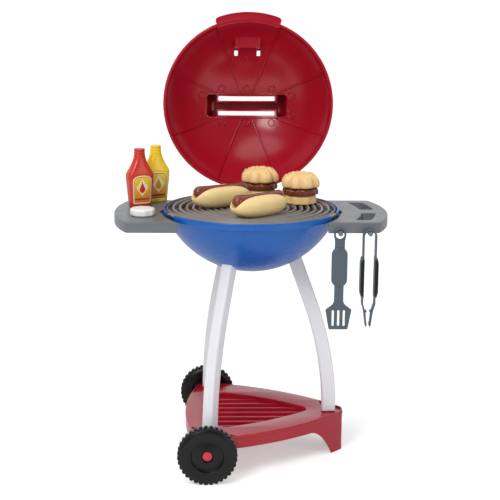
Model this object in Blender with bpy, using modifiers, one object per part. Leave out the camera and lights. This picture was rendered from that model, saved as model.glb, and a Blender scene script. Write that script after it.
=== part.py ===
"""Toy barbecue grill: a kettle on three legs with a hinged lid, shelves, wheels, tools and play food."""
import math

import bmesh
import bpy
from mathutils import Matrix, Vector

MM = 0.001

# General
GRILL = "toy_grill"
CLEARANCE = 0.3 * MM
WELD = 0.005 * MM
SHARP_ANGLE = math.radians(35)
ROUND_STEPS = 36
SMALL_STEPS = 14
CORNER_STEPS = 2
LEG_ANGLES = (0, 120, 240)

# Bowl
BAND_RADIUS = 171.6 * MM
BAND_TOP = 497 * MM
BAND_HEIGHT = 13 * MM
BAND_STEP = 4.6 * MM
BOWL_DEPTH = 111 * MM
BOWL_WALL = 3 * MM
LIP_WIDTH = 4 * MM
LEDGE_DROP = 10 * MM
LEDGE_WIDTH = 6.6 * MM
NOTCH_WIDTH = 36 * MM
NOTCH_ANGLES = (204, 336)
SOCKET_DEPTH = 34 * MM
SOCKET_WIDTH = 28 * MM
SOCKET_BOTTOM = 383 * MM
SOCKET_ROOF = 3 * MM
SOCKET_ROUND = 4 * MM

# Hinge
HINGE_BACK = 182 * MM
HINGE_HEIGHT = 496 * MM
HINGE_RADIUS = 5 * MM
PIN_RADIUS = 2 * MM
PIN_LENGTH = 96 * MM
EAR_CENTRE = 41 * MM
EAR_WIDTH = 6 * MM
EAR_ROOT = 164.5 * MM
EAR_DROP = 12 * MM
EAR_LIP_DROP = 0.6 * MM
EAR_SHOULDER = 176.5 * MM
KNUCKLE_CENTRE = 32.5 * MM
KNUCKLE_WIDTH = 9 * MM
KNUCKLE_ROOT = 170.2 * MM
KNUCKLE_REACH = 10 * MM
LID_OPENING = math.radians(98.6)

# Lid
LID_RIM_RADIUS = 177 * MM
LID_RIM_HEIGHT = 4 * MM
LID_BAND_HEIGHT = 13 * MM
LID_BAND_RADIUS = 174 * MM
LID_DEPTH = 125 * MM
LID_WALL = 2.5 * MM
LID_GAP = 1 * MM
LIP_INNER = 167.2 * MM
LIP_OUTER = 189 * MM
LIP_THICK = 3.5 * MM
LIP_BORDER = 3 * MM
LIP_BORDER_DROP = 2 * MM
LIP_BORDER_START = 173 * MM
LIP_HALF_ANGLE = math.radians(22)
LIP_CORNER = 5 * MM
RIB_ANGLES = (22.5, 67.5, 112.5, 157.5)
RIB_WIDTH = 2.4 * MM
RIB_HEIGHT = 1 * MM
HANDLE_LENGTH = 178 * MM
HANDLE_WIDTH = 52 * MM
HANDLE_RISE = 29 * MM
HANDLE_ROUND = 16 * MM
HANDLE_ROOT = 99 * MM
HANDLE_SLOPE = 6 * MM
SLOT_LENGTH = 124 * MM
SLOT_WIDTH = 9.75 * MM
GRIP_WIDTH = 21.5 * MM
LATCH_WIDTH = 55 * MM
LATCH_LOW = 57 * MM
LATCH_HIGH = 84 * MM
LATCH_OUT = 150 * MM
LATCH_IN = 121 * MM
WINDOW_WIDTH = 7.4 * MM
WINDOW_SPACING = 48 * MM
WINDOW_OUT = 116 * MM
WINDOW_IN = 105.5 * MM

# Cooking grate
GRATE_GAP = 3.1 * MM
GRATE_RISE = 1 * MM
GROOVE_DEPTH = 6 * MM
RIDGE_PITCH = 13 * MM
RIDGE_COUNT = 12
GRATE_RIM = 6 * MM
GRATE_UNDER = 489.3 * MM
GRATE_EDGE = 1.5 * MM
TAB_REACH = 170.3 * MM
TAB_DROP = 1.5 * MM
GRATE_STEPS = 30

# Shelves
SHELF_TOP = 489.5 * MM
SHELF_HEIGHT = 20.5 * MM
SHELF_HALF = 115 * MM
SHELF_WALL = 2.5 * MM
SHELF_EDGE = 1.5 * MM
SHELF_CORNER = 8 * MM
INNER_ARC_RADIUS = 214.8 * MM
INNER_ARC_CENTRE = -41.6 * MM
OUTER_ARC_RADIUS = 271 * MM
OUTER_ARC_CENTRE = (-5 * MM, 5 * MM)
INNER_STEPS = 12
OUTER_STEPS = 8
SHELF_NOTCH_CENTRE = -6 * MM
SHELF_NOTCH_HALF = 18 * MM
SHELF_NOTCH_DEPTH = 4.5 * MM
HOLE_INSET_SHARE = 0.26
HOLE_WIDTH_SHARE = 0.29
HOLE_SPANS = ((-88 * MM, -20 * MM), (16 * MM, 90 * MM))
HOLE_CORNER = 7 * MM
TONGUE_WIDTH = 60 * MM
TONGUE_REACH = 12 * MM
PEG_RADIUS = 4.3 * MM
PEG_HEIGHT = 472.2 * MM
PEG_END = -138 * MM
SPATULA_X = 162.4 * MM
TONGS_X = 218 * MM

# Legs
LEG_DEPTH = 27.5 * MM
LEG_WIDTH = 22 * MM
LEG_FOOT_RADIUS = 159.6 * MM
LEG_BEND_RADIUS = 620 * MM
LEG_STRAIGHT_FROM = 309 * MM
LEG_TOP = 407 * MM
LEG_ROUND = 4.5 * MM
STUB_DEPTH = 18 * MM
STUB_WIDTH = 12 * MM
STUB_LENGTH = 9 * MM
LEG_STEPS = 8

# Base tray
TRAY_TOP = 82 * MM
TRAY_HEIGHT = 25 * MM
TRAY_WALL = 3 * MM
TRAY_APOTHEM = 129 * MM
TRAY_TIP = 188 * MM
TRAY_TIP_HALF = 12 * MM
TRAY_TIP_ROUND = 5 * MM
RECESS_APOTHEM = 74 * MM
RECESS_TIP = 114 * MM
RECESS_TIP_HALF = 4 * MM
RECESS_TIP_ROUND = 5 * MM
RECESS_DEPTH = 12 * MM
TRAY_RIB_PITCH = 26 * MM
TRAY_RIB_WIDTH = 7 * MM
TRAY_RIB_HEIGHT = 5 * MM
TRAY_RIB_COUNT = 7
TIP_STEP = 145 * MM
TIP_DROP = 3.5 * MM
ARCH_START = 118 * MM
ARCH_END = 164 * MM
ARCH_STEPS = 6
TRAY_STEPS = 7

# Wheels and axle
WHEEL_X = -85 * MM
WHEEL_Y = 187 * MM
WHEEL_RADIUS = 57 * MM
WHEEL_WIDTH = 21 * MM
LOBE_COUNT = 34
LOBE_DEPTH = 2.6 * MM
TREAD_BASE = 53.6 * MM
TREAD_WIDTH = 17 * MM
TREAD_INNER = 48 * MM
HUB_RADIUS = 31 * MM
HUB_STEP = 4 * MM
HUB_CENTRE_RADIUS = 11.5 * MM
HUB_RISE = 2 * MM
CAP_RECESS = 6.5 * MM
CAP_RADIUS = 9.4 * MM
CAP_THICK = 4 * MM
CAP_BASE_GAP = 0.6 * MM
AXLE_RADIUS = 4 * MM
BEARING_WIDTH = 24 * MM
BEARING_HEIGHT = 24 * MM
BEARING_OUT = 172 * MM
BEARING_IN = 146 * MM

# Spatula and tongs
TOOL_Y = -125 * MM
SPATULA_THICK = 3 * MM
EYE_RADIUS = 8 * MM
EYE_OUTER = 11.7 * MM
NECK_HALF = 9.5 * MM
PANEL_DROP = 23.8 * MM
PANEL_LENGTH = 77 * MM
PANEL_HALF = 15 * MM
PANEL_THICK = 7 * MM
PANEL_EDGE = 1.5 * MM
SHANK_HALF = 8.8 * MM
SHOULDER_HALF = 24.8 * MM
SHANK_LENGTH = 44 * MM
BLADE_LENGTH = 38.7 * MM
TIP_HALF = 18 * MM
BLADE_SLOTS = 3
BLADE_SLOT_WIDTH = 5 * MM
BLADE_SLOT_PITCH = 10.4 * MM
BLADE_SLOT_SHARES = (0.17, 0.97)
ROUND_END_SHARE = 0.49
STRIP_THICK = 3 * MM
STRIP_DEPTH = 16 * MM
STRIP_Y = -127 * MM
BOW_INNER = 10.1 * MM
BOW_DROP = 14.7 * MM
ARM_STRAIGHT = 115 * MM
ARM_BEND_LENGTH = 16 * MM
ARM_NUB_HALF = 7 * MM
ARM_TIP_LENGTH = 27.3 * MM
ARM_TIP_HALF = 3.6 * MM
TONGS_GRIP_SHARES = (0.226, 0.887)
TONGS_GRIP_OUT = 5.5 * MM
TONGS_GRIP_DEPTH = 20 * MM
TONGS_GRIP_EDGE = 1.2 * MM

# Play food
FOOD_BASE = BAND_TOP + GRATE_RISE + CLEARANCE
BUN_LENGTH = 128 * MM
BUN_WIDTH = 56 * MM
BUN_HEIGHT = 44 * MM
BUN_SINK = 2 * MM
BUN_BLUNT_SHARE = 0.75
GROOVE_MOUTH_SHARE = 1.05
SAUSAGE_RADIUS = 12 * MM
SAUSAGE_LENGTH = 122 * MM
SAUSAGE_LIFT = 32.3 * MM
HOTDOG_PLACES = ((-59 * MM, 5 * MM), (11 * MM, -87 * MM))
HOTDOG_ANGLES = (32, 38)
BURGER_PLACES = ((21.6 * MM, 108.4 * MM), (99.2 * MM, 44.6 * MM))
HEEL_RADIUS = 33 * MM
HEEL_HEIGHT = 17.7 * MM
PATTY_RADIUS = 36 * MM
PATTY_HEIGHT = 14 * MM
CROWN_RADIUS = 39 * MM
CROWN_HEIGHT = 29 * MM
HEEL_ROUND_SHARE = 0.35
CROWN_ROUND_SHARE = 0.75
EDGE_SHARE = 0.65
FOOT_SHARE = 0.15
BURGER_STEPS = 18

# Bottles and cheese
BOTTLE_LEVELS = (
    (0 * MM, 20.5 * MM, 11.5 * MM),
    (1.5 * MM, 21.5 * MM, 12.5 * MM),
    (61 * MM, 26.5 * MM, 15 * MM),
    (65 * MM, 26 * MM, 15 * MM),
    (75 * MM, 20.5 * MM, 13.8 * MM),
    (86 * MM, 15.5 * MM, 12.3 * MM),
    (98 * MM, 11.8 * MM, 11.2 * MM),
    (113 * MM, 11 * MM, 11 * MM),
    (114 * MM, 10 * MM, 10 * MM),
)
BOTTLE_SQUARENESS = (4, 4, 4.5, 4, 3, 2.4, 2, 2, 2)
BOTTLE_TURN = math.radians(25)
BOTTLE_PLACES = ((-219 * MM, 53 * MM), (-189 * MM, 99 * MM))
BOTTLE_STEPS = 20
PUCK_RADIUS = 24.5 * MM
PUCK_HEIGHT = 14 * MM
PUCK_ROUND = 4 * MM
PUCK_PLACE = (-209 * MM, -46 * MM)


# Scene and materials

def clear_scene():
    for item in list(bpy.data.objects):
        bpy.data.objects.remove(item, do_unlink=True)


def linear(channel):
    return channel / 12.92 if channel <= 0.04045 else ((channel + 0.055) / 1.055) ** 2.4


def material(name, colour, roughness, metallic=0.0):
    """A plain material; the colour is an sRGB hex value."""
    paint = bpy.data.materials.new(name)
    paint.use_nodes = True
    shader = paint.node_tree.nodes["Principled BSDF"]
    channels = [linear(int(colour[i:i + 2], 16) / 255) for i in (0, 2, 4)]
    shader.inputs["Base Color"].default_value = (*channels, 1.0)
    shader.inputs["Roughness"].default_value = roughness
    shader.inputs["Metallic"].default_value = metallic
    return paint


# Building blocks

def add_piece(name, data, paint):
    if not data.materials:
        data.materials.append(paint)
    piece = bpy.data.objects.new(name, data)
    bpy.data.collections[GRILL].objects.link(piece)
    return piece


def settle(piece):
    """Make the piece's curve or modifiers one welded mesh, smooth but for its sharp edges."""
    bpy.context.view_layer.update()
    graph = bpy.context.evaluated_depsgraph_get()
    mesh = bpy.data.meshes.new_from_object(piece.evaluated_get(graph))
    edit = bmesh.new()
    edit.from_mesh(mesh)
    bmesh.ops.remove_doubles(edit, verts=edit.verts, dist=WELD)
    bmesh.ops.recalc_face_normals(edit, faces=edit.faces)
    edit.to_mesh(mesh)
    edit.free()
    mesh.shade_smooth()
    mesh.set_sharp_from_angle(angle=SHARP_ANGLE)
    if piece.type == "MESH":
        piece.modifiers.clear()
        piece.data = mesh
        return piece
    name, matrix = piece.name, piece.matrix_world.copy()
    bpy.data.objects.remove(piece, do_unlink=True)
    solid = add_piece(name, mesh, None)
    solid.matrix_world = matrix
    return solid


def combine(target, tool, operation):
    """Join, cut or intersect the target with the tool, which is used up."""
    boolean = target.modifiers.new(operation, "BOOLEAN")
    boolean.operation = operation
    boolean.solver = "EXACT"
    boolean.object = tool
    settle(target)
    bpy.data.objects.remove(tool, do_unlink=True)


def soften(piece, width, segments=2):
    """Round the piece's sharp edges."""
    bevel = piece.modifiers.new("soften", "BEVEL")
    bevel.width = width
    bevel.segments = segments
    bevel.limit_method = "ANGLE"
    bevel.angle_limit = SHARP_ANGLE
    return settle(piece)


def turned(name, profile, paint, steps=ROUND_STEPS):
    """Turn (radius, height) points about Z; the outer side runs top to bottom."""
    closed = profile[0][0] > 0
    edges = [(i, i + 1) for i in range(len(profile) - 1)]
    if closed:
        edges.append((len(profile) - 1, 0))
    mesh = bpy.data.meshes.new(name)
    mesh.from_pydata([(radius, 0, height) for radius, height in profile], edges, [])
    piece = add_piece(name, mesh, paint)
    screw = piece.modifiers.new("turn", "SCREW")
    screw.steps = screw.render_steps = steps
    screw.use_merge_vertices = True
    screw.merge_threshold = WELD
    return settle(piece)


def flat(name, outlines, thickness, paint):
    """A plate centred on the XY plane; outlines after the first are holes."""
    curve = bpy.data.curves.new(name, "CURVE")
    curve.dimensions = "2D"
    curve.fill_mode = "BOTH"
    curve.extrude = thickness / 2
    for outline in outlines:
        spline = curve.splines.new("POLY")
        spline.points.add(len(outline) - 1)
        for point, (x, y) in zip(spline.points, outline):
            point.co = (x, y, 0, 1)
        spline.use_cyclic_u = True
    return settle(add_piece(name, curve, paint))


def slab(name, outlines, low, high, paint):
    """A plate between two heights."""
    piece = flat(name, outlines, high - low, paint)
    piece.location.z = (low + high) / 2
    return piece


def upright(name, outlines, y, thickness, paint):
    """A plate whose outline is drawn in X and Z, centred on the plane at y."""
    piece = flat(name, outlines, thickness, paint)
    piece.rotation_euler.x = math.radians(90)
    piece.location.y = y
    return piece


def box(name, low, high, paint):
    """A box between two opposite corners."""
    low, high = Vector(low), Vector(high)
    edit = bmesh.new()
    bmesh.ops.create_cube(edit, size=1, matrix=Matrix.Diagonal((*(high - low), 1)))
    mesh = bpy.data.meshes.new(name)
    edit.to_mesh(mesh)
    edit.free()
    piece = add_piece(name, mesh, paint)
    piece.location = (low + high) / 2
    return piece


def rod(name, radius, low, high, paint, steps=SMALL_STEPS):
    """A round bar between two heights on the Z axis."""
    edit = bmesh.new()
    bmesh.ops.create_cone(
        edit, cap_ends=True, segments=steps, radius1=radius, radius2=radius, depth=high - low)
    mesh = bpy.data.meshes.new(name)
    edit.to_mesh(mesh)
    edit.free()
    piece = add_piece(name, mesh, paint)
    piece.location.z = (low + high) / 2
    return settle(piece)


def turn_about_z(piece, degrees):
    """Turn a placed piece about the grill's upright axis."""
    bpy.context.view_layer.update()
    piece.matrix_world = Matrix.Rotation(math.radians(degrees), 4, "Z") @ piece.matrix_world


def attach(piece, parent):
    """Parent a piece where it stands."""
    bpy.context.view_layer.update()
    piece.parent = parent
    piece.matrix_parent_inverse = parent.matrix_world.inverted()


def pivot(name, location, parent=None):
    empty = bpy.data.objects.new(name, None)
    bpy.data.collections[GRILL].objects.link(empty)
    empty.location = location
    if parent:
        attach(empty, parent)
    return empty


# Outlines

def arc(centre, radius, start, end, steps):
    """Points on an arc, angles in degrees."""
    angles = [math.radians(start + (end - start) * step / steps) for step in range(steps + 1)]
    return [(centre[0] + radius * math.cos(a), centre[1] + radius * math.sin(a)) for a in angles]


def circle(centre, radius, steps=SMALL_STEPS):
    return arc(centre, radius, 0, 360, steps)[:-1]


def rounded(corners):
    """An outline from (x, y, corner radius) points."""
    outline = []
    for i, (x, y, radius) in enumerate(corners):
        here = Vector((x, y))
        if not radius:
            outline.append((x, y))
            continue
        back = (Vector(corners[i - 1][:2]) - here).normalized()
        ahead = (Vector(corners[(i + 1) % len(corners)][:2]) - here).normalized()
        half = back.angle(ahead) / 2
        centre = here + (back + ahead).normalized() * radius / math.sin(half)
        start = here + back * radius / math.tan(half) - centre
        end = here + ahead * radius / math.tan(half) - centre
        for step in range(CORNER_STEPS + 1):
            point = centre + start.lerp(end, step / CORNER_STEPS).normalized() * radius
            outline.append(tuple(point))
    return outline


def rectangle(low, high, radius=0):
    return rounded([
        (low[0], low[1], radius),
        (high[0], low[1], radius),
        (high[0], high[1], radius),
        (low[0], high[1], radius),
    ])


def cap_radius(rim, depth):
    """Radius of the sphere whose cap has this rim radius and depth."""
    return (rim ** 2 + depth ** 2) / (2 * depth)


def cap_points(radius, centre, rim, steps, side):
    """Sphere profile from the rim to the axis; side is 1 above the centre and -1 below."""
    rim_angle = math.asin(rim / radius)
    angles = [rim_angle * (1 - step / steps) for step in range(steps + 1)]
    return [(radius * math.sin(a), centre + side * radius * math.cos(a)) for a in angles]


# Bowl

def leg_radius(height):
    """Distance of a leg's centre line from the grill's axis: a bend, then a straight run."""
    bend = min(height, LEG_STRAIGHT_FROM) - TRAY_TOP
    straight = height - min(height, LEG_STRAIGHT_FROM)
    slope = (LEG_STRAIGHT_FROM - TRAY_TOP) / LEG_BEND_RADIUS
    return LEG_FOOT_RADIUS - bend ** 2 / (2 * LEG_BEND_RADIUS) - straight * slope


def leg_outline(low, high, width, steps=LEG_STEPS):
    """Side view of a bar along a leg's centre line, in radius and height."""
    outer, inner = [], []
    for step in range(steps + 1):
        height = low + (high - low) * step / steps
        slope = (min(max(height, TRAY_TOP), LEG_STRAIGHT_FROM) - TRAY_TOP) / LEG_BEND_RADIUS
        across = Vector((1, slope)).normalized() * width / 2
        centre = Vector((leg_radius(height), height))
        outer.append(tuple(centre + across))
        inner.append(tuple(centre - across))
    return outer + inner[::-1]


def make_bowl(paint):
    step_radius = BAND_RADIUS - BAND_STEP
    radius = cap_radius(step_radius, BOWL_DEPTH)
    step_height = BAND_TOP - BAND_HEIGHT
    centre = step_height - BOWL_DEPTH + radius
    ledge = BAND_TOP - LEDGE_DROP
    lip_inner = BAND_RADIUS - LIP_WIDTH
    wall_inner = lip_inner - LEDGE_WIDTH
    profile = cap_points(radius - BOWL_WALL, centre, wall_inner, 5, -1)[::-1]
    profile += [(wall_inner, ledge), (lip_inner, ledge), (lip_inner, BAND_TOP)]
    profile += [(BAND_RADIUS, BAND_TOP), (BAND_RADIUS, step_height)]
    profile += cap_points(radius, centre, step_radius, 7, -1)
    bowl = turned("grill_bowl", profile, paint)
    for angle in LEG_ANGLES:
        outline = leg_outline(SOCKET_BOTTOM, LEG_TOP + SOCKET_ROOF + CLEARANCE, SOCKET_DEPTH, 1)
        socket = upright("socket", [outline], 0, SOCKET_WIDTH, paint)
        soften(socket, SOCKET_ROUND, 1)
        turn_about_z(socket, angle)
        combine(bowl, socket, "UNION")
    for angle in LEG_ANGLES:
        outline = leg_outline(
            SOCKET_BOTTOM - SOCKET_DEPTH, LEG_TOP + CLEARANCE, LEG_DEPTH + 2 * CLEARANCE, 1)
        cavity = upright("cavity", [outline], 0, LEG_WIDTH + 2 * CLEARANCE, paint)
        turn_about_z(cavity, angle)
        combine(bowl, cavity, "DIFFERENCE")
    for angle in NOTCH_ANGLES:
        notch = box(
            "notch", (wall_inner, -NOTCH_WIDTH / 2, ledge),
            (BAND_RADIUS + BAND_STEP, NOTCH_WIDTH / 2, BAND_TOP + LEDGE_DROP), paint)
        turn_about_z(notch, angle)
        combine(bowl, notch, "DIFFERENCE")
    for side in (-1, 1):
        ear = make_ear(paint)
        ear.location.x = side * EAR_CENTRE
        combine(bowl, ear, "UNION")
    bore = hinge_rod("bore", PIN_RADIUS + CLEARANCE, PIN_LENGTH + LIP_WIDTH, paint)
    combine(bowl, bore, "DIFFERENCE")
    return bowl


def sideways(name, outline, thickness, paint):
    """A plate across X whose outline is drawn in Y and Z."""
    piece = flat(name, [outline], thickness, paint)
    piece.matrix_world = Matrix(((0, 0, 1, 0), (1, 0, 0, 0), (0, 1, 0, 0), (0, 0, 0, 1)))
    return piece


def make_ear(paint):
    top = BAND_TOP - EAR_LIP_DROP
    outline = [(EAR_SHOULDER, top), (EAR_ROOT, top), (EAR_ROOT, BAND_TOP - EAR_DROP)]
    outline += arc((HINGE_BACK, HINGE_HEIGHT), HINGE_RADIUS, -100, 150, 10)
    return sideways("ear", outline, EAR_WIDTH, paint)


def hinge_rod(name, radius, length, paint):
    piece = rod(name, radius, -length / 2, length / 2, paint, 12)
    piece.rotation_euler.y = math.radians(90)
    piece.location = (0, HINGE_BACK, HINGE_HEIGHT)
    return piece


# Lid

def lid_profile(radius, centre, rim, bottom, steps):
    """Solid dome from its apex down to the rim plane."""
    return cap_points(radius, centre, rim, steps, 1)[::-1] + bottom + [(0, bottom[-1][1])]


def lip_sector(inner, outer, inset, low, high, paint):
    """Part of a ring at the front of the lid."""
    half = math.degrees(LIP_HALF_ANGLE) - math.degrees(inset / outer)
    outline = arc((0, 0), outer, -90 - half, -90 + half, 12)
    outline += arc((0, 0), inner, -90 + half, -90 - half, 12)
    corners = [(*point, 0) for point in outline]
    for index in (0, 12):
        corners[index] = (*outline[index], LIP_CORNER)
    return slab("lip", [rounded(corners)], low, high, paint)


def handle_solid(width, inset, low, paint):
    """The handle's arch from end to end, as wide as its feet."""
    half = HANDLE_LENGTH / 2 - inset
    top = LID_DEPTH + HANDLE_RISE - inset
    outline = rounded([
        (-half, low, 0),
        (half, low, 0),
        (half - HANDLE_SLOPE, top, HANDLE_ROUND - inset),
        (HANDLE_SLOPE - half, top, HANDLE_ROUND - inset),
    ])
    return upright("handle", [outline], 0, width, paint)


def side_spaces(name, reach, inner, outer, low, high, paint):
    """The two long spaces beside the handle's grip."""
    spaces = box(name, (-reach, inner, low), (reach, outer, high), paint)
    other = box(name, (-reach, -outer, low), (reach, -inner, high), paint)
    combine(spaces, other, "UNION")
    return spaces


def lid_inside(radius, centre, paint):
    """The space under the dome, less the ribs and the latch block that stand in it."""
    rim = LID_BAND_RADIUS - LID_WALL
    inside = turned(
        "inside", lid_profile(radius, centre, rim, [(rim, -LID_RIM_HEIGHT)], 7), paint)
    for angle in RIB_ANGLES:
        rib = box(
            "rib", (-LID_RIM_RADIUS, -RIB_WIDTH / 2, LID_BAND_HEIGHT),
            (LID_RIM_RADIUS, RIB_WIDTH / 2, LID_DEPTH), paint)
        rib.rotation_euler.z = math.radians(angle)
        combine(inside, rib, "DIFFERENCE")
    core_rim = rim - RIB_HEIGHT
    core = turned(
        "core", lid_profile(radius - RIB_HEIGHT, centre, core_rim, [(core_rim, 0)], 7), paint)
    combine(inside, core, "UNION")
    latch = box(
        "latch", (-LATCH_WIDTH / 2, -LATCH_OUT, LATCH_LOW),
        (LATCH_WIDTH / 2, -LATCH_IN, LATCH_HIGH), paint)
    combine(inside, latch, "DIFFERENCE")
    return inside


def make_lid(paint):
    """The lid in its own frame: rim centre at the origin, dome up, lip toward -Y."""
    cap_rim = LID_BAND_RADIUS
    radius = cap_radius(cap_rim, LID_DEPTH - LID_BAND_HEIGHT)
    centre = LID_DEPTH - radius
    bottom = [
        (cap_rim, LID_RIM_HEIGHT), (LID_RIM_RADIUS, LID_RIM_HEIGHT), (LID_RIM_RADIUS, 0)]
    lid = turned("lid", lid_profile(radius, centre, cap_rim, bottom, 8), paint)
    handle = handle_solid(HANDLE_WIDTH, 0, HANDLE_ROOT, paint)
    spaces = side_spaces(
        "spaces", SLOT_LENGTH / 2, GRIP_WIDTH / 2, HANDLE_WIDTH, 0, LID_DEPTH * 2, paint)
    combine(handle, spaces, "DIFFERENCE")
    combine(lid, handle, "UNION")
    combine(lid, lid_inside(radius - LID_WALL, centre, paint), "DIFFERENCE")
    hollow = handle_solid(HANDLE_WIDTH - 2 * LID_WALL, LID_WALL, HANDLE_ROOT, paint)
    guards = side_spaces(
        "guards", SLOT_LENGTH / 2 + LID_WALL, GRIP_WIDTH / 2 - LID_WALL, HANDLE_WIDTH, 0,
        LID_DEPTH * 2, paint)
    combine(hollow, guards, "DIFFERENCE")
    combine(lid, hollow, "DIFFERENCE")
    slots = side_spaces(
        "slots", SLOT_LENGTH / 2 - CLEARANCE, GRIP_WIDTH / 2 + CLEARANCE,
        GRIP_WIDTH / 2 + SLOT_WIDTH, HANDLE_ROOT, LID_DEPTH, paint)
    combine(lid, slots, "DIFFERENCE")
    for side in (-1, 1):
        middle = side * WINDOW_SPACING / 2
        window = box(
            "window", (middle - WINDOW_WIDTH / 2, -WINDOW_OUT, LATCH_LOW),
            (middle + WINDOW_WIDTH / 2, -WINDOW_IN, LID_DEPTH), paint)
        combine(lid, window, "DIFFERENCE")
    combine(lid, lip_sector(LIP_INNER, LIP_OUTER, 0, 0, LIP_THICK, paint), "UNION")
    border = lip_sector(LIP_BORDER_START, LIP_OUTER, 0, -LIP_BORDER_DROP, LIP_THICK / 2, paint)
    field = lip_sector(
        LIP_BORDER_START + LIP_BORDER, LIP_OUTER - LIP_BORDER, LIP_BORDER, -LIP_THICK, 0, paint)
    combine(border, field, "DIFFERENCE")
    combine(lid, border, "UNION")
    for side in (-1, 1):
        combine(lid, make_knuckle(side, paint), "UNION")
    bore = hinge_rod("bore", PIN_RADIUS + CLEARANCE, PIN_LENGTH, paint)
    bore.location.z -= BAND_TOP + LID_GAP
    combine(lid, bore, "DIFFERENCE")
    return lid


def make_knuckle(side, paint):
    axis = (HINGE_BACK, HINGE_HEIGHT - BAND_TOP - LID_GAP)
    outline = [(KNUCKLE_ROOT, KNUCKLE_REACH), (KNUCKLE_ROOT, CLEARANCE)]
    outline += arc(axis, HINGE_RADIUS, 150, 440, 12)
    knuckle = sideways("knuckle", outline, KNUCKLE_WIDTH, paint)
    knuckle.location.x = side * KNUCKLE_CENTRE
    return knuckle


# Cooking grate

def make_grate(paint):
    radius = BAND_RADIUS - LIP_WIDTH - GRATE_GAP
    crest = BAND_TOP + GRATE_RISE
    seat = BAND_TOP - LEDGE_DROP + CLEARANCE
    profile = [(0, crest - GROOVE_DEPTH)]
    for ridge in range(RIDGE_COUNT, 0, -1):
        middle = radius - ridge * RIDGE_PITCH
        profile += [(middle, crest), (middle + RIDGE_PITCH / 2, crest - GROOVE_DEPTH)]
    profile += [(radius - GRATE_EDGE, crest), (radius, crest - GRATE_EDGE), (radius, seat)]
    profile += [(radius - GRATE_RIM, seat), (radius - GRATE_RIM, GRATE_UNDER), (0, GRATE_UNDER)]
    grate = turned("cooking_grate", profile, paint, GRATE_STEPS)
    half = NOTCH_WIDTH / 2 - 2 * CLEARANCE
    for angle in NOTCH_ANGLES:
        tab = box(
            "tab", (radius - GRATE_RIM / 2, -half, seat), (TAB_REACH, half, BAND_TOP - TAB_DROP),
            paint)
        turn_about_z(tab, angle)
        combine(grate, tab, "UNION")
    return grate


# Shelves

def shelf_outline(inset, inner_inset, notched):
    """The right-hand shelf from above, drawn in by the insets."""
    half = SHELF_HALF - inset
    inner = INNER_ARC_RADIUS + inner_inset
    inner_angle = math.degrees(math.asin(half / inner))
    inside = arc((INNER_ARC_CENTRE, 0), inner, inner_angle, -inner_angle, INNER_STEPS)
    outer = OUTER_ARC_RADIUS - inset
    start = math.degrees(math.asin((-half - OUTER_ARC_CENTRE[1]) / outer))
    end = math.degrees(math.asin((half - OUTER_ARC_CENTRE[1]) / outer))
    outside = arc(OUTER_ARC_CENTRE, outer, start, end, OUTER_STEPS)
    corners = [(*point, 0) for point in inside + outside]
    corners[INNER_STEPS + 1] = (*outside[0], SHELF_CORNER)
    corners[-1] = (*outside[-1], SHELF_CORNER)
    if notched:
        tip = INNER_ARC_CENTRE + inner + SHELF_NOTCH_DEPTH
        edge = math.sqrt(inner ** 2 - SHELF_NOTCH_HALF ** 2) + INNER_ARC_CENTRE
        notch = [
            (edge, SHELF_NOTCH_CENTRE + SHELF_NOTCH_HALF, 0),
            (tip, SHELF_NOTCH_CENTRE, 0),
            (edge, SHELF_NOTCH_CENTRE - SHELF_NOTCH_HALF, 0),
        ]
        limit = SHELF_NOTCH_HALF + SHELF_CORNER
        before = [c for c in corners[:INNER_STEPS + 1] if c[1] - SHELF_NOTCH_CENTRE > limit]
        after = [c for c in corners[:INNER_STEPS + 1] if SHELF_NOTCH_CENTRE - c[1] > limit]
        corners = before + notch + after + corners[INNER_STEPS + 1:]
    return rounded(corners)


def make_shelf(name, mirrored, paint):
    bottom = SHELF_TOP - SHELF_HEIGHT
    shelf = slab(name, [shelf_outline(0, 0, True)], bottom, SHELF_TOP, paint)
    soften(shelf, SHELF_EDGE, 1)
    hollow = slab(
        "hollow", [shelf_outline(SHELF_WALL, SHELF_WALL + SHELF_NOTCH_DEPTH, False)],
        bottom - SHELF_WALL, SHELF_TOP - SHELF_WALL, paint)
    combine(shelf, hollow, "DIFFERENCE")
    inner_edge = INNER_ARC_CENTRE + INNER_ARC_RADIUS
    tongue = box(
        "tongue", (inner_edge - TONGUE_REACH, -TONGUE_WIDTH / 2, bottom),
        (inner_edge + SHELF_NOTCH_DEPTH + SHELF_WALL, TONGUE_WIDTH / 2,
         BAND_TOP - BAND_HEIGHT - CLEARANCE), paint)
    combine(tongue, bowl_space(paint), "DIFFERENCE")
    combine(shelf, tongue, "UNION")
    if mirrored:
        shelf.data.transform(Matrix.Scale(-1, 4, (1, 0, 0)))
        shelf.data.flip_normals()
    return shelf


def bowl_space(paint):
    """The room that the outside of the bowl takes under its band."""
    step_radius = BAND_RADIUS - BAND_STEP + CLEARANCE
    radius = cap_radius(BAND_RADIUS - BAND_STEP, BOWL_DEPTH) + CLEARANCE
    centre = BAND_TOP - BAND_HEIGHT - BOWL_DEPTH + radius - CLEARANCE
    profile = [(0, BAND_TOP), (step_radius, BAND_TOP)]
    profile += cap_points(radius, centre, step_radius, 7, -1)
    return turned("bowl_space", profile, paint)


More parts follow.
